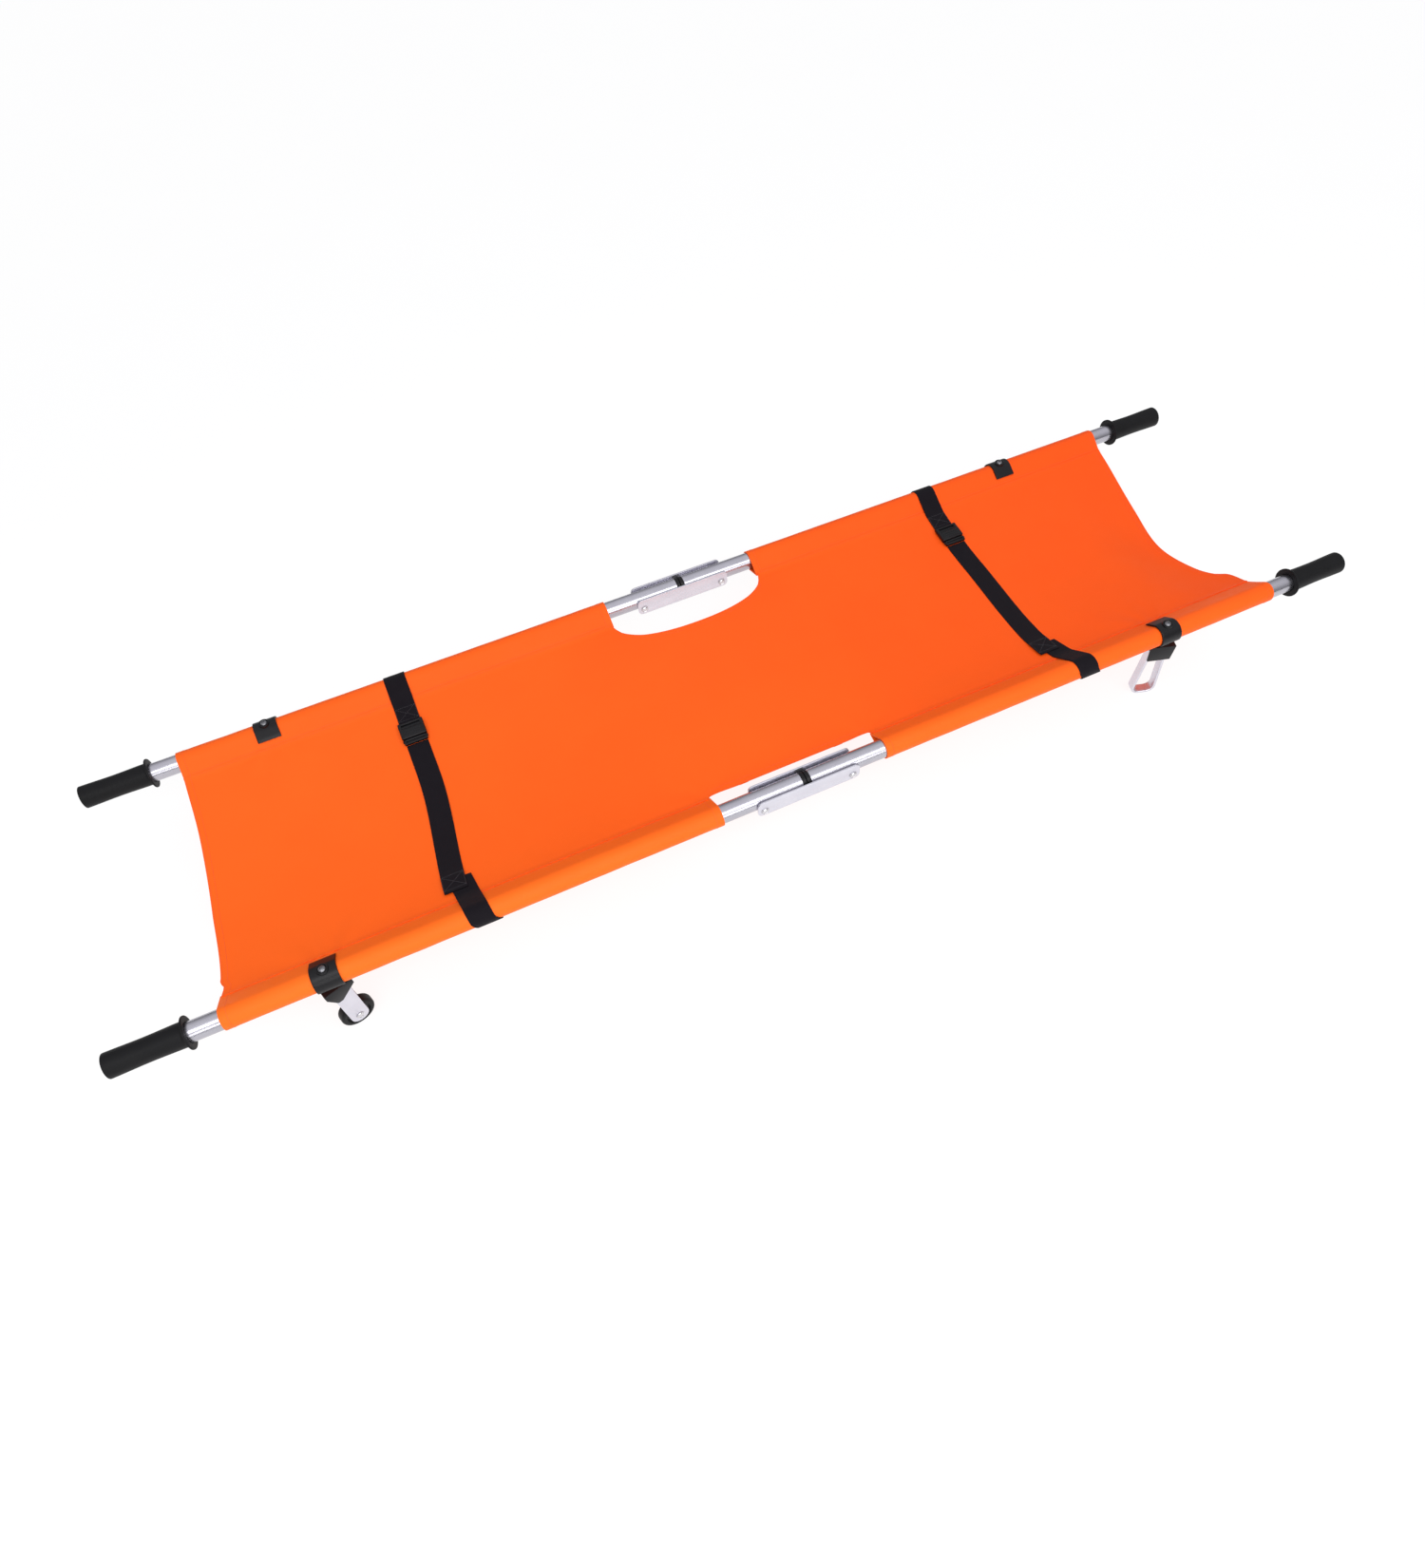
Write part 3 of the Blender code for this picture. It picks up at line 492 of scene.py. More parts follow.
def turned(profile, axis, centre, segments=56, closed=False):
    """A solid of revolution. The profile holds (distance along the axis, radius) pairs."""
    bm = bmesh.new()
    turn = UP.rotation_difference(axis).to_matrix()
    rings = []
    for along, radius in profile:
        count = 1 if radius == 0 else segments
        angles = [2 * math.pi * i / segments for i in range(count)]
        points = [Vector((radius * math.cos(a), radius * math.sin(a), along)) for a in angles]
        rings.append([bm.verts.new(centre + turn @ p) for p in points])
    pairs = list(zip(rings, rings[1:]))
    if closed:
        pairs.append((rings[-1], rings[0]))
    for a, b in pairs:
        for i in range(segments):
            j = (i + 1) % segments
            corners = [a[i % len(a)], a[j % len(a)], b[j % len(b)], b[i % len(b)]]
            bm.faces.new(list(dict.fromkeys(corners)))
    bmesh.ops.recalc_face_normals(bm, faces=bm.faces)
    return bm


def rounded(points, radius, steps=4):
    """Round the corners of an open profile of (along, radius) pairs, keeping its two ends."""
    result = [points[0]]
    for before, here, after in zip(points, points[1:], points[2:]):
        p = Vector(here)
        first, second = Vector(before) - p, Vector(after) - p
        reach = min(radius, first.length * 0.48, second.length * 0.48)
        a, b = p + first.normalized() * reach, p + second.normalized() * reach
        for i in range(steps + 1):
            t = i / steps
            result.append(tuple((1 - t) ** 2 * a + 2 * t * (1 - t) * p + t**2 * b))
    result.append(points[-1])
    return result


def block(low, high, chamfer, segments=3):
    bm = bmesh.new()
    bmesh.ops.create_cube(bm, size=1.0)
    size = Vector(high) - Vector(low)
    bm.transform(Matrix.Translation((Vector(low) + Vector(high)) / 2) @ Matrix.Diagonal((*size, 1.0)))
    bmesh.ops.bevel(bm, geom=bm.edges[:], offset=chamfer, segments=segments, profile=0.5, affect="EDGES")
    return bm


def merge(target, *others):
    for other in others:
        spare = bpy.data.meshes.new("spare")
        other.to_mesh(spare)
        other.free()
        target.from_mesh(spare)
        bpy.data.meshes.remove(spare)
    return target


def paint(bm, index):
    for face in bm.faces:
        face.material_index = index
    return bm


def placed(name, data):
    obj = bpy.data.objects.new(name, data)
    bpy.context.scene.collection.objects.link(obj)
    return obj


def piece(name, bm, finishes, body, nodes):
    """Make an object of the mesh, give it its finishes, and let it stand for CAD nodes on a body."""
    mesh = bpy.data.meshes.new(name)
    bm.to_mesh(mesh)
    bm.free()
    mesh.shade_smooth()
    mesh.set_sharp_from_angle(angle=SMOOTH_ANGLE)
    for finish in finishes:
        mesh.materials.append(MATERIALS[finish])
    obj = placed(name, mesh)
    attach(obj, body)
    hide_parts(*nodes)
    return obj


def softened(node_name, finish, width, body):
    """The CAD node's own solid with its hard edges slightly rounded."""
    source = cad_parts[node_name]
    bm = bmesh.new()
    bm.from_mesh(source.data)
    bm.transform(source.matrix_world)
    bmesh.ops.remove_doubles(bm, verts=bm.verts, dist=2e-5)
    bmesh.ops.dissolve_limit(bm, angle_limit=math.radians(2.0), verts=bm.verts, edges=bm.edges)
    sharp = [e for e in bm.edges if len(e.link_faces) == 2 and e.calc_face_angle() > math.radians(32)]
    bmesh.ops.bevel(
        bm, geom=sharp, offset=width, segments=2, profile=0.6, affect="EDGES", clamp_overlap=True
    )
    bmesh.ops.recalc_face_normals(bm, faces=bm.faces)
    return piece(node_name + "_finish", bm, [finish], body, [node_name])


# Names of the two ends and of the two poles
END = {-1: "left", 1: "right"}
SIDE = {-1: "front", 1: "rear"}


def pole_body(sx, sy):
    return f"pole_{SIDE[sy]}_{END[sx]}"


def bolt_x(sx):
    return WHEEL_SIDE_X if sx < 0 else FOOT_SIDE_X


def pole_piece(name, node, bm, finish, sx, sy):
    """A piece that rides a half pole and stands for the CAD node at the same place."""
    place = f"{END[sx]}_{SIDE[sy]}"
    piece(f"{name}_{place}", bm, [finish], pole_body(sx, sy), [f"{node}_{place}"])


def mirrored(half):
    """A profile with its mirror image before it."""
    return [(-a, r) for a, r in half[::-1]] + half


# --- cover


SEAM = Vector((SEAM_IN, -SEAM_DROP))
SEAM_ANGLE = math.atan2(SEAM.y, SEAM.x)
TANGENT = math.acos(SLEEVE_R / SEAM.length)
UPPER = SEAM_ANGLE + TANGENT
LOWER = SEAM_ANGLE - TANGENT + 2 * math.pi


def sleeve_section(scale=1.0, turn_points=34, flank_points=9):
    """The sleeve's outer line from the seam over the pole and back: (inboard, height) pairs."""
    turn = arc(SLEEVE_R, UPPER, LOWER, turn_points)
    first, last = Vector(turn[0]), Vector(turn[-1])
    line = [tuple(SEAM.lerp(first, i / flank_points)) for i in range(flank_points)]
    line += turn
    line += [tuple(last.lerp(SEAM, i / flank_points)) for i in range(1, flank_points + 1)]
    return [(scale * u, scale * z) for u, z in line]


def sag_at(x):
    extra = FOOT_END_SAG * smooth_step((x - FOOT_END_SAG_START) / FOOT_END_SAG_RUN)
    return SHEET_SAG * smooth_step((abs(x) - SAG_START) / SAG_RUN) + extra


def deck_height(x, y):
    """Height of the sheet's middle layer over the pole axes, without its creases."""
    lap = max(0.0, abs(y) - HALF_DECK)
    across = min(abs(y) / HALF_DECK, 1.0)
    level = SHEET_EDGE_LIFT - MIDDLE_DROP * (1 - smooth_step((abs(x) - SAG_START) / MIDDLE_RUN))
    return level - SEAM_DROP - sag_at(x) * (1 - across * across) + lap * LAP_SLOPE


def cutout_edge(x, depth, power):
    middle = (CUTOUT_LEFT + CUTOUT_RIGHT) / 2
    share = min(abs(x - middle) / ((CUTOUT_RIGHT - CUTOUT_LEFT) / 2), 1.0)
    return SEAM_IN + (depth - SEAM_IN) * (1 - share**power) ** (1 / power)


def deck_edges(x):
    """Y of the sheet's two edges: lapped on to the sleeves, or cut out at the hand holds."""
    if not CUTOUT_LEFT < x < CUTOUT_RIGHT:
        return -HALF_DECK - LAP, HALF_DECK + LAP
    low = cutout_edge(x, FRONT_CUTOUT_DEPTH, FRONT_CUTOUT_POWER) - POLE_Y
    high = POLE_Y - cutout_edge(x, REAR_CUTOUT_DEPTH, REAR_CUTOUT_POWER)
    return low, high


def end_inset(sx, y):
    """How far the cover's end is cut back between the poles, with a small tab beside the front seam."""
    cut = WHEEL_END_CUT if sx < 0 else FOOT_END_CUT
    y = min(max(y, cut[0][0]), cut[-1][0])
    place = max(i for i, (at_y, _) in enumerate(cut[:-1]) if at_y <= y)
    (y0, c0), (y1, c1) = cut[place], cut[place + 1]
    before = (c1 - cut[place - 1][1]) / (y1 - cut[place - 1][0]) if place else 0.0
    after = (cut[place + 2][1] - c0) / (cut[place + 2][0] - y0) if place + 2 < len(cut) else 0.0
    run, t = y1 - y0, (y - y0) / (y1 - y0)
    return c0 + (c1 - c0) * smooth_step(t) + run * t * (1 - t) * (before * (1 - t) - after * t)


def pull_lines(x, y):
    """Creases: puckers at the seams, fans from the saddles and cut-out corners, and slow waves."""
    from_front, from_rear = max(0.0, y + HALF_DECK), max(0.0, HALF_DECK - y)
    total = 0.0
    for distance, seed in ((from_front, 1.3), (from_rear, 7.9)):
        puckers = ripple(46.0, x, seed, 0.0) + 0.5 * ripple(95.0, x, seed, 4.0)
        at_seam = 1 - 0.8 * math.exp(-distance / 0.006)
        total += 0.0008 * puckers * at_seam * math.exp(-distance / 0.030)
        total += 0.0016 * ripple(13.0, x, seed, 2.0) * at_seam * math.exp(-distance / 0.075)
    total += 0.0022 * ripple(6.0, x * 0.5 + y * 0.4, y, 9.0) * (1 - (y / HALF_DECK) ** 4)
    for corner_x in (CUTOUT_LEFT, CUTOUT_RIGHT):
        reach = math.hypot(x - corner_x, from_front)
        angle = math.atan2(from_front, x - corner_x)
        total += 0.0014 * math.sin(7.0 * angle) * math.exp(-reach / 0.060) * smooth_step(reach / 0.020)
    for bolt, depth in ((WHEEL_SIDE_X, from_front), (WHEEL_SIDE_X, from_rear), (FOOT_SIDE_X, from_front)):
        reach = math.hypot(x - bolt, depth + 0.020)
        angle = math.atan2(depth + 0.020, x - bolt)
        total += 0.0015 * math.cos(8.0 * angle) * math.exp(-reach / 0.060)
    return total


def deck_grid(stations, sx):
    """Points of a panel through its stations along X. The middle panel and the flaps have an sx of 0."""
    columns = round(2 * HALF_DECK / COVER_STEP)
    grid = []
    for x in stations:
        low, high = deck_edges(x)
        row = []
        for j in range(columns + 1):
            y = low + (high - low) * j / columns
            pull = max(0.0, 1 - (COVER_END - abs(x)) / END_RUN) ** 2
            end_x = x - math.copysign(end_inset(sx or 1, y) * pull, x)
            fade = smooth_step((abs(x) - PANEL_JOIN) / FADE_RUN) if sx else 0.0
            height = deck_height(x, y) + pull_lines(x, y) * fade
            row.append(Vector((end_x, y, AXIS_Z + height)))
        grid.append(row)
    return grid


def hemmed(edge):
    """Thickness of the cloth at a distance from its edge: double in the hem."""
    return CLOTH + HEM_EXTRA * (1 - smooth_step((edge - HEM * 0.9) / (HEM * 0.15)))


def hem_thickness(grid):
    """Thickness of the cloth at a grid point: folded double along the ends and the cut-outs."""
    outer = max(grid[0], grid[-1], key=lambda row: abs(row[0].x))

    def at_point(i, j):
        point = grid[i][j]
        low, high = grid[i][0].y, grid[i][-1].y
        in_cutout = CUTOUT_LEFT < point.x < CUTOUT_RIGHT
        to_side = min(point.y - low, high - point.y) if in_cutout else HEM * 2
        near_end = COVER_END - abs(point.x) < 0.12
        return hemmed(min(abs(outer[j].x - point.x), to_side) if near_end else to_side)

    return at_point


def point_in(line, depth):
    """The point at a depth along a line of grid points."""
    lengths = run_lengths(line)
    k = next(n for n in range(1, len(lengths)) if lengths[n] >= depth)
    share = (depth - lengths[k - 1]) / (lengths[k] - lengths[k - 1])
    return line[k - 1].lerp(line[k], share)


def sewn_on_top(path):
    """Stitches on a panel's upper face, in the thread's finish."""
    return paint(stitches(path, [UP] * len(path)), 1)


def hem_rows(grid, sx):
    """Sewing rows along the end hem, following the cut end at a hem's width."""
    rise = Vector((0, 0, (CLOTH + HEM_EXTRA) / 2))
    lines = [line[::-1] if sx > 0 else line for line in zip(*grid)]
    rows = []
    for depth in (HEM * 0.78, HEM * 0.18):
        path = [point_in(line, depth) + rise for line in lines]
        rows.append(sewn_on_top(path))
    return rows


def side_rows(grid):
    """Sewing beside the seams and round the cut-outs, along both edges of a panel."""
    paths = []
    for edge in (0, -1):
        for depth in (0.0024, HEM * 0.72):
            path = []
            for row in grid:
                free = CUTOUT_LEFT < row[0].x < CUTOUT_RIGHT
                if free or depth <= LAP:
                    line = row if edge == 0 else row[::-1]
                    rise = Vector((0, 0, (CLOTH + HEM_EXTRA * free) / 2))
                    path.append(point_in(line[:6], depth) + rise)
                else:
                    paths.append(path)
                    path = []
            paths.append(path)
    return [sewn_on_top(path) for path in paths if len(path) > 3]


def laid_flat(grid, thickness_at):
    """A sheet whose weave follows X and Y, so that it runs on from panel to panel."""
    return band(grid, thickness_at, lambda i, j: (grid[i][j].x, grid[i][j].y))


def make_deck_panel(sx):
    """An outer panel of the deck, with a flap that runs on under the middle panel."""
    end = END[sx]
    stations = spaced(sx * COVER_END, sx * PANEL_JOIN, COVER_STEP)
    if sx > 0:
        stations = stations[::-1]
    grid = deck_grid(stations, sx)
    bm = laid_flat(grid, hem_thickness(grid))
    flap_stations = spaced(sx * (PANEL_JOIN + COVER_STEP), sx * FLAP_END, FLAP_STEP)
    flap = [[p - Vector((0, 0, FLAP_DROP)) for p in row] for row in deck_grid(flap_stations, 0)]
    extra = laid_flat(flap, lambda i, j: CLOTH * 0.6)
    merge(bm, extra, *hem_rows(grid, sx), *side_rows(grid))
    panel = piece(f"deck_panel_{end}", bm, ["cloth", "thread"], pole_body(sx, -1), [f"cover_sheet_{end}"])
    return panel


def make_deck_middle():
    grid = deck_grid(spaced(-PANEL_JOIN, PANEL_JOIN, MIDDLE_STEP), 0)
    bm = laid_flat(grid, hem_thickness(grid))
    merge(bm, *side_rows(grid))
    middle = piece("deck_panel_middle", bm, ["cloth", "thread"], "hinge_front", ["cover_sheet_middle"])
    return middle


def make_deck():
    for panel in (make_deck_panel(-1), make_deck_middle(), make_deck_panel(1)):
        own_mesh(panel)


def sleeve_end(sx, sy, inboard):
    """X of the sleeve's outer end: straight at the wheel end, cut slightly back at the foot end."""
    if sx < 0:
        return -COVER_END
    cut = SLEEVE_CUT if sy < 0 else REAR_SLEEVE_CUT
    return COVER_END - cut * smooth_step(inboard / SEAM_IN)


def sleeve_crease(x, inboard, sx, sy):
    """Small wrinkles of the sleeve, strongest towards the seam and beside the saddle."""
    seed = 3.0 * sx + sy
    near_seam = smooth_step(inboard / 0.025) * smooth_step((SEAM_IN - 0.003 - inboard) / 0.012)
    total = 0.0007 * (ripple(44.0, x, seed, inboard * 0.3) + 0.4 * ripple(90.0, x, seed, 5.0)) * near_seam
    total += 0.00030 * ripple(24.0, x, seed, inboard * 2.0)
    beside = abs(x - bolt_x(sx)) - 0.020
    if beside > 0:
        total += 0.0005 * math.cos(beside * 260.0) * math.exp(-beside / 0.018) * near_seam
    return total


def sleeve_grid(sx, sy, start, section):
    """Points of a sleeve: each row runs round the pole, and the rows run from the cut-out outwards."""
    steps = round((COVER_END - abs(start)) / COVER_STEP)
    grid = []
    for i in range(steps + 1):
        share = i / steps
        row = []
        for u, h in section:
            x = start + (sleeve_end(sx, sy, max(u, 0.0)) - start) * share
            out = Vector((u, h)).normalized() * sleeve_crease(x, max(u, 0.0), sx, sy)
            row.append(at(x, sy, u + out.x, h + out.y))
        grid.append(row)
    return grid


def sleeve_sewing(grid, sy):
    """Sewing on a sleeve's outer face, beside the seam and along both hems."""
    normals = grid_normals(grid)
    rows, columns = len(grid), len(grid[0])
    middle = columns // 2
    from_axis = grid[5][middle] - at(grid[5][0].x, sy, 0, 0)
    outward = 1 if normals[5][middle].dot(from_axis) > 0 else -1
    runs = [([(i, SEWN_LINE) for i in range(rows)], CLOTH)]
    for i in (SEWN_LINE, rows - 1 - SEWN_LINE):
        runs.append(([(i, j) for j in range(columns)], CLOTH + HEM_EXTRA))
    made = []
    for places, thick in runs:
        path = [grid[i][j] + outward * normals[i][j] * thick / 2 for i, j in places]
        out = [outward * normals[i][j] for i, j in places]
        made.append(paint(stitches(path, out), 1))
    return made


def make_sleeve(sx, sy):
    """One length of the pole sleeve, sewn at the seam, with a hem at each end. The front sleeves get a
    lighter copy of the cloth, a painted highlight for the front light.
    """
    end, side = END[sx], SIDE[sy]
    start = CUTOUT_LEFT if sx < 0 else CUTOUT_RIGHT
    section = sleeve_section((SLEEVE_R - CLOTH / 2) / SLEEVE_R)
    grid = sleeve_grid(sx, sy, start, section)

    def thickness(i, j):
        x = grid[i][j].x
        return hemmed(min(abs(x - grid[0][j].x), abs(grid[-1][j].x - x)))

    bm = merge(band(grid, thickness), *sleeve_sewing(grid, sy))
    name = f"sleeve_{end}_{side}"
    # The front sleeves take the lighter copy of the cloth, a painted highlight for the front light.
    cloth = "sleeve" if sy < 0 else "cloth"
    sleeve = piece(name, bm, [cloth, "thread"], pole_body(sx, sy), [f"cover_sleeve_{end}_{side}"])


# --- poles, hinges and grips


def make_tube(sx, sy):
    inner = TUBE_R - TUBE_WALL
    lip = 0.0006
    profile = [(TUBE_START, inner), (TUBE_START, TUBE_R - lip), (TUBE_START + lip, TUBE_R)]
    profile += [(x, TUBE_R) for x in spaced(TUBE_START + 0.01, TUBE_END - 0.01, 0.05)]
    profile += [(TUBE_END - lip, TUBE_R), (TUBE_END, TUBE_R - lip), (TUBE_END, inner)]
    bm = turned(profile, Vector((sx, 0, 0)), at(0, sy, 0, 0), 72, closed=True)
    pole_piece("tube", "pole_tube", bm, "aluminium", sx, sy)


def make_plug(sx, sy):
    """The black band between the half poles: a plug with a rounded rim and a stub in the tube."""
    stub = TUBE_R - TUBE_WALL - SLIDE_GAP
    tip = PLUG_END + PLUG_STUB
    outline = [(PLUG_START, 0.0), (PLUG_START, TUBE_R), (PLUG_END, TUBE_R), (PLUG_END, stub), (tip, stub)]
    profile = rounded(outline + [(tip, 0.0)], 0.0010)
    bm = turned(profile, Vector((sx, 0, 0)), at(0, sy, 0, 0), 64)
    pole_piece("plug", "pole_plug", bm, "plastic", sx, sy)


def make_grip(sx, sy):
    """A moulded grip: flange, slightly waisted body and a rounded end cap."""
    bore = TUBE_R + SLIDE_GAP
    lip = GRIP_START + GRIP_FLANGE
    inside = HALF_LENGTH - GRIP_CAP
    outline = [(inside, 0.0), (inside, bore), (GRIP_START, bore), (GRIP_START, GRIP_FLANGE_R)]
    outline += [(lip, GRIP_FLANGE_R), (lip, GRIP_R + 0.0006)]
    stations = spaced(lip + 0.004, HALF_LENGTH - 0.006, 0.0015)
    for x in stations[:1] + stations[1:-1:4] + stations[-1:]:
        share = (x - lip) / (HALF_LENGTH - lip)
        outline.append((x, GRIP_R - GRIP_WAIST * math.sin(math.pi * share) ** 2))
    outline += [(HALF_LENGTH, GRIP_R), (HALF_LENGTH, 0.0)]
    bm = turned(rounded(outline, 0.0011), Vector((sx, 0, 0)), at(0, sy, 0, 0), 72)
    pole_piece("grip", "hand_grip", bm, "rubber", sx, sy)


def rivet_profile(face, shank, head, thickness):
    """Half of a domed rivet from the middle of its shank outwards."""
    rim, dome = face + thickness * 0.25, head * 0.80
    profile = [(face, shank), (face, head * 0.98), (rim, head), (rim + 0.0001, head * 0.92)]
    profile.append((face + 0.0001, dome))
    for angle in (10, 30, 50, 70, 82):
        t = math.radians(angle)
        profile.append((face + thickness * math.sin(t), dome * math.cos(t)))
    profile.append((face + thickness, 0.0))
    return profile


def make_hinge_pin(sx, sy):
    """The hinge rivet, domed on both sides of the channel."""
    end, side = END[sx], SIDE[sy]
    half = rivet_profile(CHANNEL_OUTER + SLIDE_GAP, PIN_R, RIVET_HEAD_R, RIVET_HEAD)
    bm = turned(mirrored(half), Vector((0, 1, 0)), at(sx * PIN_X, sy, 0, -PIN_DROP), 36)
    piece(f"rivet_{end}_{side}", bm, ["steel"], f"hinge_{side}", [f"hinge_pin_{end}_{side}"])


# --- saddles, bolts and legs


SADDLE_HALF = 0.020
SADDLE_THICK = 0.003
SADDLE_END = math.radians(203)
BOLT_SEAT = SLEEVE_R + 0.0009 + SADDLE_THICK


def make_saddle(sx, sy):
    """A plastic cap over the sleeve: a curved plate with rounded edges and a ring round the bolt."""
    middle = SLEEVE_R + WRAP_GAP + SADDLE_THICK / 2
    shoulder = Vector(arc(SLEEVE_R, UPPER, UPPER + 0.1, 2)[0])
    first = shoulder.lerp(SEAM, 0.45)
    line = [tuple(first.lerp(shoulder, i / 5)) for i in range(5)] + arc(SLEEVE_R, UPPER, SADDLE_END, 26)
    scale = middle / SLEEVE_R
    offsets = (-1.0, -0.985, -0.95, -0.9, -0.5, 0.0, 0.5, 0.9, 0.95, 0.985, 1.0)
    path = [at(0, sy, scale * u, scale * h) for u, h in line]
    lengths = run_lengths(path)
    grid = [[p + Vector((bolt_x(sx) + SADDLE_HALF * t, 0, 0)) for t in offsets] for p in path]

    def thickness(i, j):
        edge = min(SADDLE_HALF * (1 - abs(offsets[j])), lengths[i], lengths[-1] - lengths[i])
        return SADDLE_THICK * (0.45 + 0.55 * rounding(edge, 0.0012))

    low, seat, rim = BOLT_SEAT - 0.0030, BOLT_SEAT - 0.0003, BOLT_SEAT + 0.0018
    ring = [(low, 0.0036), (low, 0.0100), (rim, 0.0088), (rim, 0.0066), (seat, 0.0064), (seat, 0.0036)]
    ring = rounded(ring + ring[:1], 0.0006)[:-1]
    boss = turned(ring, UP, at(bolt_x(sx), sy, 0, 0), 40, closed=True)
    pole_piece("saddle_cap", "saddle", merge(band(grid, thickness), boss), "plastic", sx, sy)


def make_bolt(sx, sy):
    """The leg bolt: a plated dome with a round recess over a plain shank."""
    edge = BOLT_SEAT + 0.0005
    profile = [(BOLT_TIP, 0.0), (BOLT_TIP, BOLT_R), (BOLT_SEAT, BOLT_R)]
    profile += [(BOLT_SEAT, BOLT_HEAD_R * 0.97), (edge, BOLT_HEAD_R)]
    for angle in (15, 30, 45, 58):
        t = math.radians(angle)
        profile.append((edge + (BOLT_HEAD - 0.0005) * math.sin(t), BOLT_HEAD_R * math.cos(t)))
    rim = BOLT_SEAT + BOLT_HEAD
    profile += [(rim - 0.0002, 0.0024), (rim - 0.0008, 0.0021), (rim - 0.0018, 0.0020), (rim - 0.0020, 0.0)]
    bm = turned(profile, UP, at(bolt_x(sx), sy, 0, 0), 36)
    pole_piece("bolt", "leg_bolt", bm, "bolt", sx, sy)


def toe_turn(sx, sy):
    return Matrix.Rotation(sx * sy * LEG_TOE, 4, "Z")


def make_wheel(sy):
    """A wheel with a rounded tyre, a recessed web and a raised hub, on a riveted axle."""
    side = SIDE[sy]
    body = f"wheel_left_{side}"
    axis = toe_turn(-1, sy).to_3x3() @ Vector((0, 1, 0))
    centre = Vector((WHEEL_SIDE_X, sy * POLE_Y, WHEEL_R))
    half = [(0.0, WHEEL_R), (0.0050, WHEEL_R), (0.0078, 0.0264)]
    half += [(0.0090, 0.0238), (0.0090, 0.0205), (0.0084, 0.0196)]
    tyre = [(-a, r) for a, r in half[:0:-1]] + half
    tyre = rounded(tyre, 0.0010) + [(0.0070, 0.0190), (-0.0070, 0.0190)]
    bm = paint(turned(tyre, axis, centre, 72, closed=True), 0)
    web = [(0.0066, 0.0194), (0.0072, 0.0188), (0.0048, 0.0176)]
    web += [(0.0048, 0.0098), (0.0088, 0.0086), (0.0088, 0.0044)]
    hub = rounded(mirrored(web), 0.0006)
    merge(bm, paint(turned(hub, axis, centre, 60, closed=True), 1))
    piece(f"wheel_tyre_{side}", bm, ["tyre", "plastic"], body, [f"wheel_{side}"])
    pin = rivet_profile(AXLE_SEAT, AXLE_R, AXLE_HEAD_R, AXLE_HEAD)
    axle = turned(mirrored(pin), axis, centre, 36)
    piece(f"axle_rivet_{side}", axle, ["steel"], f"spreader_left_{side}", [f"wheel_axle_{side}"])


def make_loop_leg(sy):
    """A flat bar with rounded edges bent to a narrow loop."""
    side = SIDE[sy]
    bend = LOOP_FOOT_HALF - LOOP_FLAT_HALF
    start = bend - AXIS_Z
    right = arc(bend - LOOP_BAR / 2, math.radians(-90), math.radians(2), 16, (LOOP_FLAT_HALF, start))
    for t in (0.2, 0.5, 0.8, 1.0):
        x = LOOP_TOP_HALF - LOOP_BAR / 2 + (1 - t) * LOOP_FLARE
        right.append((x, start + t * (LOOP_TOP - start)))
    line = [(-x, z) for x, z in right[::-1]] + [(0.0, LOOP_BAR / 2 - AXIS_Z)] + right
    offsets = (-1.0, -0.97, -0.90, -0.78, -0.3, 0.3, 0.78, 0.90, 0.97, 1.0)
    grid = [[Vector((x, LOOP_HALF_DEPTH * t, z)) for t in offsets] for x, z in line]

    def thickness(i, j):
        edge = LOOP_HALF_DEPTH * (1 - abs(offsets[j]))
        return LOOP_BAR * (0.35 + 0.65 * rounding(edge, 0.0016))

    bm = band(grid, thickness)
    bm.transform(Matrix.Translation(at(FOOT_SIDE_X, sy, 0, 0)) @ toe_turn(1, sy))
    piece(f"loop_foot_{side}", bm, ["satin"], f"spreader_right_{side}", [f"loop_leg_{side}"])


def make_legs():
    for sy in (-1, 1):
        side = SIDE[sy]
        make_wheel(sy)
        make_loop_leg(sy)
        softened(f"wheel_leg_{side}", "satin", 0.0007, f"spreader_left_{side}")
        softened(f"hinge_channel_{side}", "satin", 0.0006, f"hinge_{side}")
        for sx in (-1, 1):
            end = END[sx]
            softened(f"leg_bracket_{end}_{side}", "plastic", 0.0008, f"spreader_{end}_{side}")
            softened(f"spreader_link_{end}_{side}", "aluminium", 0.0006, f"spreader_{end}_{side}")


def make_knee(sx):
    end = END[sx]
    bottom, top = KNEE_LOW - KNEE_HEAD, KNEE_HIGH + KNEE_HEAD
    profile = [(bottom, 0.0), (bottom, KNEE_HEAD_R), (KNEE_LOW, KNEE_HEAD_R), (KNEE_LOW, KNEE_R)]
    profile += [(KNEE_HIGH, KNEE_R), (KNEE_HIGH, KNEE_HEAD_R), (top, KNEE_HEAD_R), (top, 0.0)]
    bm = turned(rounded(profile, 0.0008), UP, Vector((bolt_x(sx), 0, AXIS_Z)), 40)
    piece(f"knee_rivet_{end}", bm, ["steel"], f"spreader_{end}_front", [f"knee_pin_{end}"])


# --- belts


BELT_COLUMNS = (-1.0, -0.975, -0.93, -0.7, -0.35, 0.0, 0.35, 0.7, 0.93, 0.975, 1.0)


def belt_grid(path, centre_x, lean):
    """Points across the webbing along a path, drifting sideways by lean(share of its length)."""
    lengths = run_lengths(path)
    grid = []
    for point, run in zip(path, lengths):
        x = centre_x + lean(run / lengths[-1])
        row = []
        for t in BELT_COLUMNS:
            row.append(Vector((x + BELT_HALF * t, point.y, point.z + 0.0003 * ripple(30.0, point.y, t, x))))
        grid.append(row)
    return grid


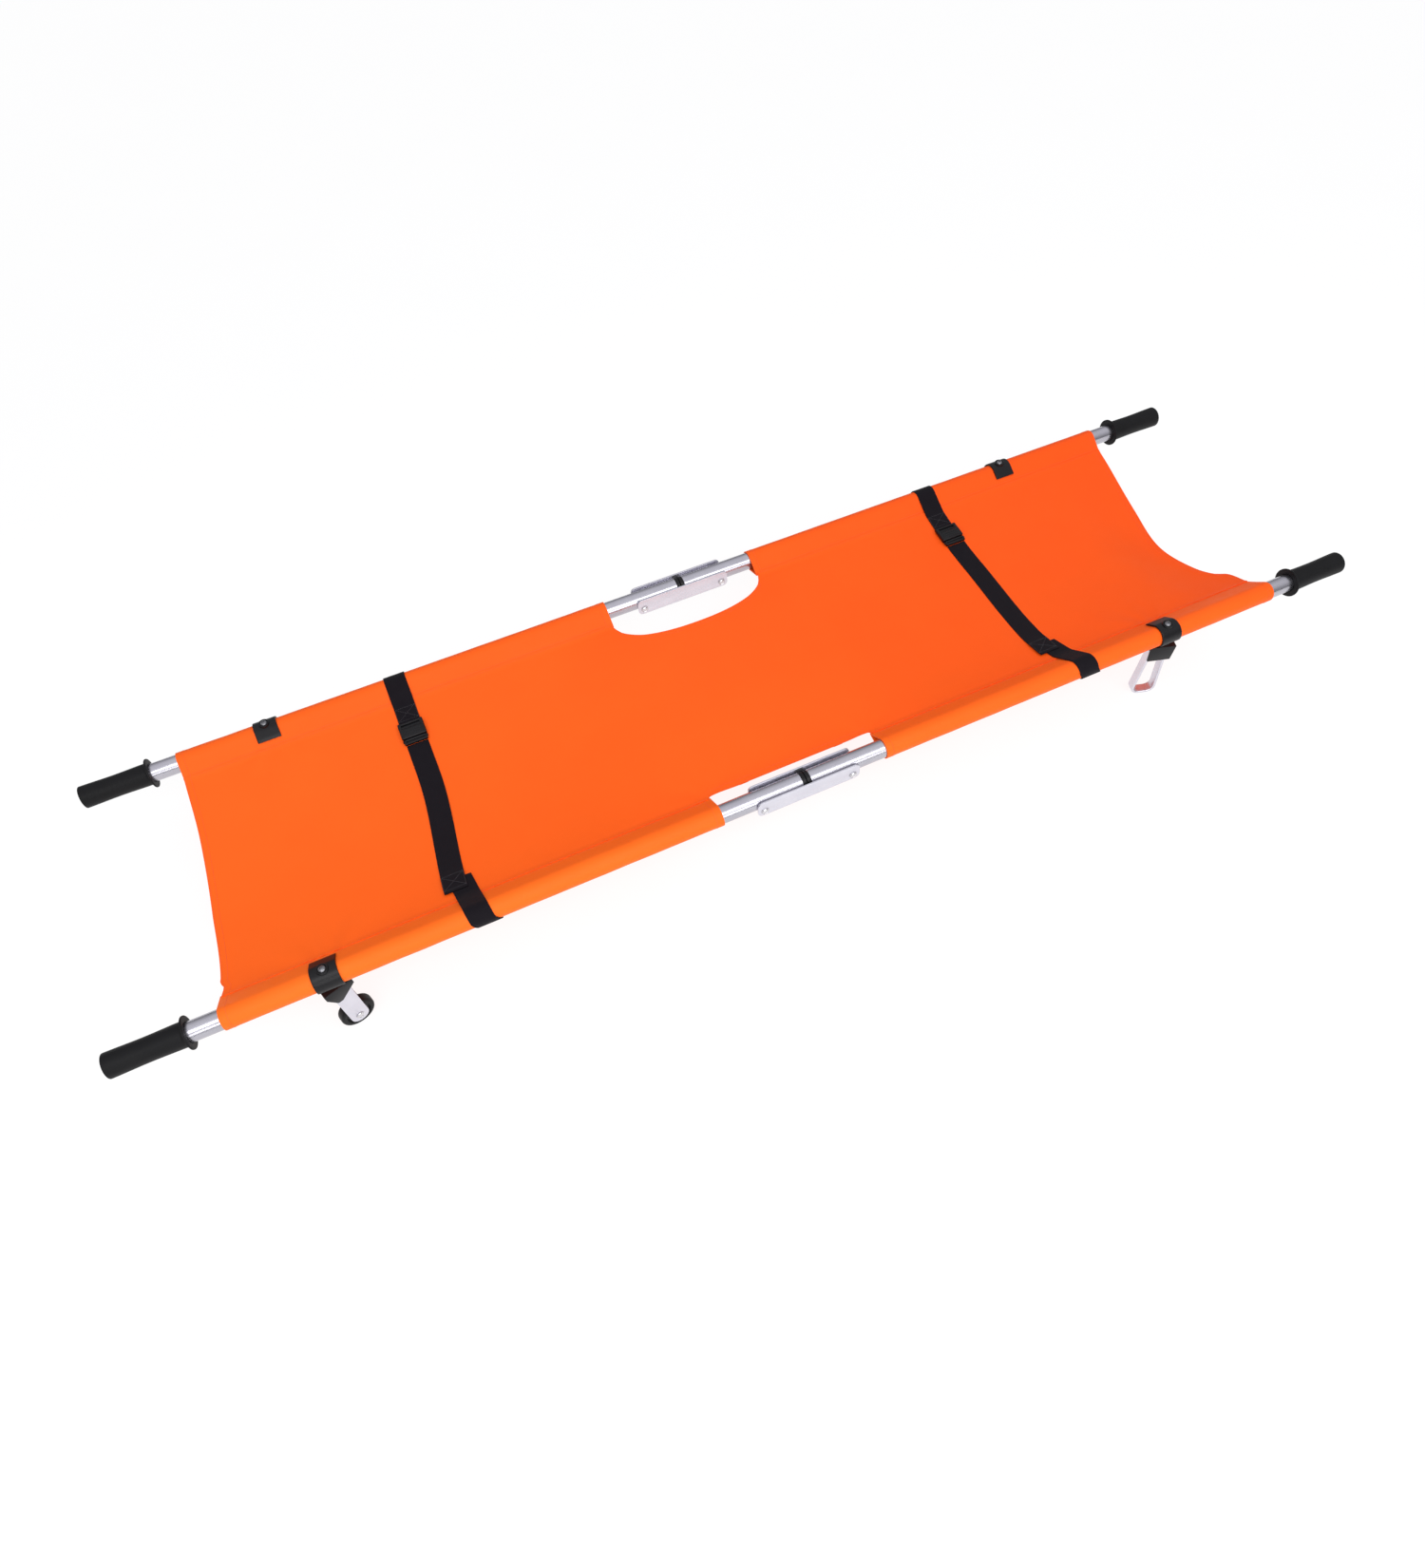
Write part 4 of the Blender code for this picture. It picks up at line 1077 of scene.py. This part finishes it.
def belt_band(grid):
    """Webbing with rounded edges about its grid of points."""

    def thickness(i, j):
        edge = BELT_HALF * (1 - abs(BELT_COLUMNS[j]))
        return WEBBING * (0.55 + 0.45 * rounding(edge, 0.0008))

    return band(grid, thickness)


def belt_lift(x, inboard):
    """Height of a belt's middle layer where it lies on the deck."""
    return deck_height(x, POLE_Y - inboard) + CLOTH / 2 + WEBBING / 2 + BELT_REST


def loop_path(x, sy, first):
    """From the deck up over the sleeve, round the pole and back under it towards the seam."""
    scale = (SLEEVE_R + WRAP_GAP + WEBBING / 2) / SLEEVE_R
    turn = [(scale * u, scale * h) for u, h in arc(SLEEVE_R, UPPER, LOWER, 36)]
    deck = [(u, belt_lift(x, u)) for u in spaced(first, LOOP_SPLIT_IN, BELT_STEP)]
    rise = Vector((SEAM_IN + 0.0015, belt_lift(x, SEAM_IN) + (0.0002 if sy < 0 else 0.0015)))
    flank = [tuple(rise.lerp(Vector(turn[0]), t)) for t in (0.0, 0.25, 0.5, 0.75)]
    tail = Vector(turn[-1]).lerp(scale * SEAM, 0.75)
    back = [tuple(Vector(turn[-1]).lerp(tail, t)) for t in (0.33, 0.66, 1.0)]
    return [at(0, sy, u, h) for u, h in deck + flank + turn + back]


def belt_sewing(path, out):
    return paint(stitches(path, out, BELT_STITCH, BELT_THREAD_R), 1)


def box_stitch(grid, first, last):
    """Sewing on webbing: a box with a cross in it between two stations of its grid."""
    normals = grid_normals(grid)
    left, right = 2, len(BELT_COLUMNS) - 3
    runs = [[(i, j) for i in range(first, last + 1)] for j in (left, right)]
    runs += [[(i, j) for j in range(left, right + 1)] for i in (first, last)]
    made = []
    for run in runs:
        path, out = [], []
        for i, j in run:
            up = normals[i][j] if normals[i][j].z > 0 else -normals[i][j]
            path.append(grid[i][j] + up * WEBBING * 0.5)
            out.append(up)
        made.append(belt_sewing(path, out))
    for a, b in ((grid[first][left], grid[last][right]), (grid[first][right], grid[last][left])):
        path = [a.lerp(b, t) + UP * WEBBING * 0.5 for t in (0.0, 0.5, 1.0)]
        made.append(belt_sewing(path, [UP] * 3))
    return made


def make_front_belt(label, end, x):
    """The loop round the front pole, and the long strap whose squared tail lies over the loop's start."""
    body = pole_body(end, -1)
    path = loop_path(x, -1, LOOP_END_IN)
    grid = belt_grid(path, x, lambda t: 0.022 * t - 0.008 + 0.007 * smooth_step((t - 0.60) / 0.12))
    split = len(spaced(LOOP_END_IN, LOOP_SPLIT_IN, BELT_STEP)) - 1
    under = belt_band(grid[: split + 1])
    piece(f"belt_loop_{label}", belt_band(grid[split:]), ["webbing"], body, [f"belt_strap_{label}"])
    path = []
    for u in spaced(FRONT_TAIL_IN, 2 * POLE_Y - PLUG_IN - 0.0005, 0.006):
        over = WEBBING * 1.15 * (1 - smooth_step((u - LOOP_END_IN - 0.004) / 0.020))
        path.append(at(0, -1, u, belt_lift(x, u) + over))
    grid = belt_grid(path, x, lambda t: -0.018 * (1 - smooth_step(t / 0.8)))
    bm = belt_band(grid)
    merge(bm, under, *box_stitch(grid, 1, 6))
    strap = piece(f"belt_long_{label}", bm, ["webbing", "black_thread"], body, [f"belt_strap_{label}"])
    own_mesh(strap)


def make_rear_belt(label, end, x):
    grid = belt_grid(loop_path(x, 1, SOCKET_OUT - 0.001), x, lambda t: 0.004 * t)
    bm = belt_band(grid)
    merge(bm, *box_stitch(grid, 1, 6))
    node = f"belt_rear_loop_{label}"
    piece(f"rear_loop_{label}", bm, ["webbing", "black_thread"], pole_body(end, 1), [node])


def bar(half, along, height, chamfer):
    """A rounded box about the buckle's middle: half its width, and its ranges along Y and Z."""
    return block((-half, along[0], height[0]), (half, along[1], height[1]), chamfer)


def socket_mesh():
    """The buckle's socket: a ribbed shell open at the sides, with bars that hold the webbing."""
    half, length, top = 0.0222, 0.034, 0.009
    made = [bar(half, (0.0004, length * 0.62), (0.0, top), 0.0022)]
    for low, high in ((-half, -half + 0.006), (half - 0.006, half)):
        made.append(block((low, length * 0.56, 0.0008), (high, length, top - 0.0012), 0.0014))
    for y, z in ((length * 0.70, top - 0.0018), (length * 0.92, top - 0.0014)):
        made.append(bar(half - 0.003, (y - 0.0018, y + 0.0018), (0.0012, z), 0.0012))
    made.append(bar(half - 0.003, (length * 0.5, length - 0.001), (0.0010, 0.0046), 0.0008))
    for y in (length * 0.16, length * 0.30, length * 0.44):
        made.append(bar(half * 0.70, (y - 0.0009, y + 0.0009), (top - 0.0004, top + 0.0008), 0.0005))
    made.append(bar(half * 0.80, (0.003, length * 0.54), (top - 0.0006, top + 0.0003), 0.0004))
    return merge(*made)


def plug_mesh():
    """The buckle's plug: two bars for the webbing, and the roots of its two prongs."""
    half, length, top = 0.0206, 0.0107, 0.0068
    made = [
        bar(half, (-length, 0.0034 - length), (0.0010, top), 0.0012),
        bar(half, (-0.0042, -0.0004), (0.0006, top), 0.0014),
        bar(half - 0.002, (0.0004 - length, -0.0006), (0.0012, 0.0048), 0.0008),
    ]
    for side in (-1, 1):
        low, high = sorted((side * half, side * (half - 0.0042)))
        made.append(block((low, -length, 0.0008), (high, -0.0004, top), 0.0014))
        low, high = sorted((side * (half + 0.0016), side * (half - 0.0030)))
        made.append(block((low, -0.0062, 0.0022), (high, -0.0006, top - 0.0016), 0.0010))
    return merge(*made)


def make_buckle(label, end, x):
    """Side-release buckle, tilted with the deck under it."""
    slope = (belt_lift(x, PLUG_IN) - belt_lift(x, SOCKET_OUT)) / (PLUG_IN - SOCKET_OUT)
    base = at(x, 1, BUCKLE_IN, belt_lift(x, BUCKLE_IN) - 0.0008)
    place = Matrix.Translation(base) @ Matrix.Rotation(-math.atan(slope), 4, "X")
    for name, node, bm in (("socket", "socket", socket_mesh()), ("plug_buckle", "plug", plug_mesh())):
        bm.transform(place)
        piece(f"{name}_{label}", bm, ["plastic"], pole_body(end, 1), [f"buckle_{node}_{label}"])


def make_belts():
    for end, x in zip((-1, 1), BELT_X):
        label = END[end]
        make_front_belt(label, end, x)
        make_rear_belt(label, end, x)
        make_buckle(label, end, x)


# --- stage


def make_floor():
    """A wide pale floor that stays nearly white under the stretcher."""
    bm = bmesh.new()
    bmesh.ops.create_grid(bm, x_segments=8, y_segments=8, size=14.0)
    mesh = bpy.data.meshes.new("floor")
    bm.to_mesh(mesh)
    bm.free()
    values = {"Roughness": 0.85, "Specular_IOR_Level": 0.1, "Emission_Strength": 0.87}
    material = principled("pale_floor", Emission_Color=(1.0, 1.0, 1.0, 1.0), **values)
    _, place = coordinates(material)
    colour = mix_colours(material, noise_of(material, place, 3.0), (0.145,) * 3, (0.155,) * 3)
    feed(material, "Base Color", colour)
    mesh.materials.append(material)
    floor = placed("floor", mesh)


def make_world():
    """A soft studio that is brighter overhead and darkest just over the horizon, behind a white screen."""
    world = bpy.data.worlds.new("studio")
    bpy.context.scene.world = world
    world.use_nodes = True
    coords = add_node(world, "TexCoord").outputs["Generated"]
    height = add_node(world, "SeparateXYZ", {"Vector": coords}).outputs["Z"]
    ramp = add_node(world, "ValToRGB", {"Fac": height})
    stops = ((0.0, 0.11), (0.14, 0.27), (0.50, 0.52), (0.85, 0.88), (1.0, 0.96))
    elements = ramp.color_ramp.elements
    elements[0].position, elements[1].position = stops[0][0], stops[-1][0]
    for position, _ in stops[1:-1]:
        elements.new(position)
    for element, (_, level) in zip(elements, stops):
        element.color = (level, level, level * 1.04, 1.0)
    rays = add_node(world, "LightPath").outputs["Is Camera Ray"]
    inputs = {"Factor": rays, 6: ramp.outputs["Color"], 7: (1.0, 1.0, 1.0, 1.0)}
    screen = add_node(world, "Mix", inputs, data_type="RGBA").outputs[2]
    background = world.node_tree.nodes["Background"]
    world.node_tree.links.new(screen, background.inputs["Color"])


def make_light(name, energy, size, location, target=(0.0, 0.0, 0.1)):
    data = bpy.data.lights.new(name, "AREA")
    data.energy = energy
    data.shape = "RECTANGLE"
    data.size, data.size_y = size
    light = placed(name, data)
    light.location = location
    light.rotation_euler = (Vector(target) - Vector(location)).to_track_quat("-Z", "Y").to_euler()


def make_lights():
    make_light("softbox", 34.0, (3.8, 0.9), (-0.2, -1.55, 2.0))
    make_light("front_fill", 26.0, (3.2, 0.8), (-0.3, -2.6, 1.0))


CAMERA_TARGET = Vector((-0.1139, -0.1358, 0.060))
CAMERA_AZIMUTH = math.radians(-19.75)
CAMERA_ELEVATION = math.radians(54.0)
CAMERA_ROLL = math.radians(-5.71)
CAMERA_DISTANCE = 1.740
CAMERA_LENS = 25.235


def make_camera():
    flat, rise = math.cos(CAMERA_ELEVATION), math.sin(CAMERA_ELEVATION)
    back = Vector((math.sin(CAMERA_AZIMUTH) * flat, -math.cos(CAMERA_AZIMUTH) * flat, rise))
    right = UP.cross(back).normalized()
    up = back.cross(right)
    c, s = math.cos(CAMERA_ROLL), math.sin(CAMERA_ROLL)
    turned_right, turned_up = c * right + s * up, c * up - s * right
    data = bpy.data.cameras.new("camera")
    data.sensor_fit = "HORIZONTAL"
    data.sensor_width = 36.0
    data.lens = CAMERA_LENS
    data.clip_end = 60.0
    camera = placed("camera", data)
    place = Matrix((turned_right, turned_up, back)).transposed().to_4x4()
    place.translation = CAMERA_TARGET + back * CAMERA_DISTANCE
    camera.matrix_world = place
    bpy.context.scene.camera = camera


def make_frame_pieces():
    makers = (make_tube, make_plug, make_grip, make_sleeve, make_hinge_pin, make_saddle, make_bolt)
    for sy in (-1, 1):
        for sx in (-1, 1):
            for make in makers:
                make(sx, sy)
    make_legs()
    for sx in (-1, 1):
        make_knee(sx)


MATERIALS = make_materials()
make_camera()
make_frame_pieces()
make_deck()
make_belts()
make_floor()
make_world()
make_lights()
bpy.context.scene.view_settings.view_transform = "Standard"
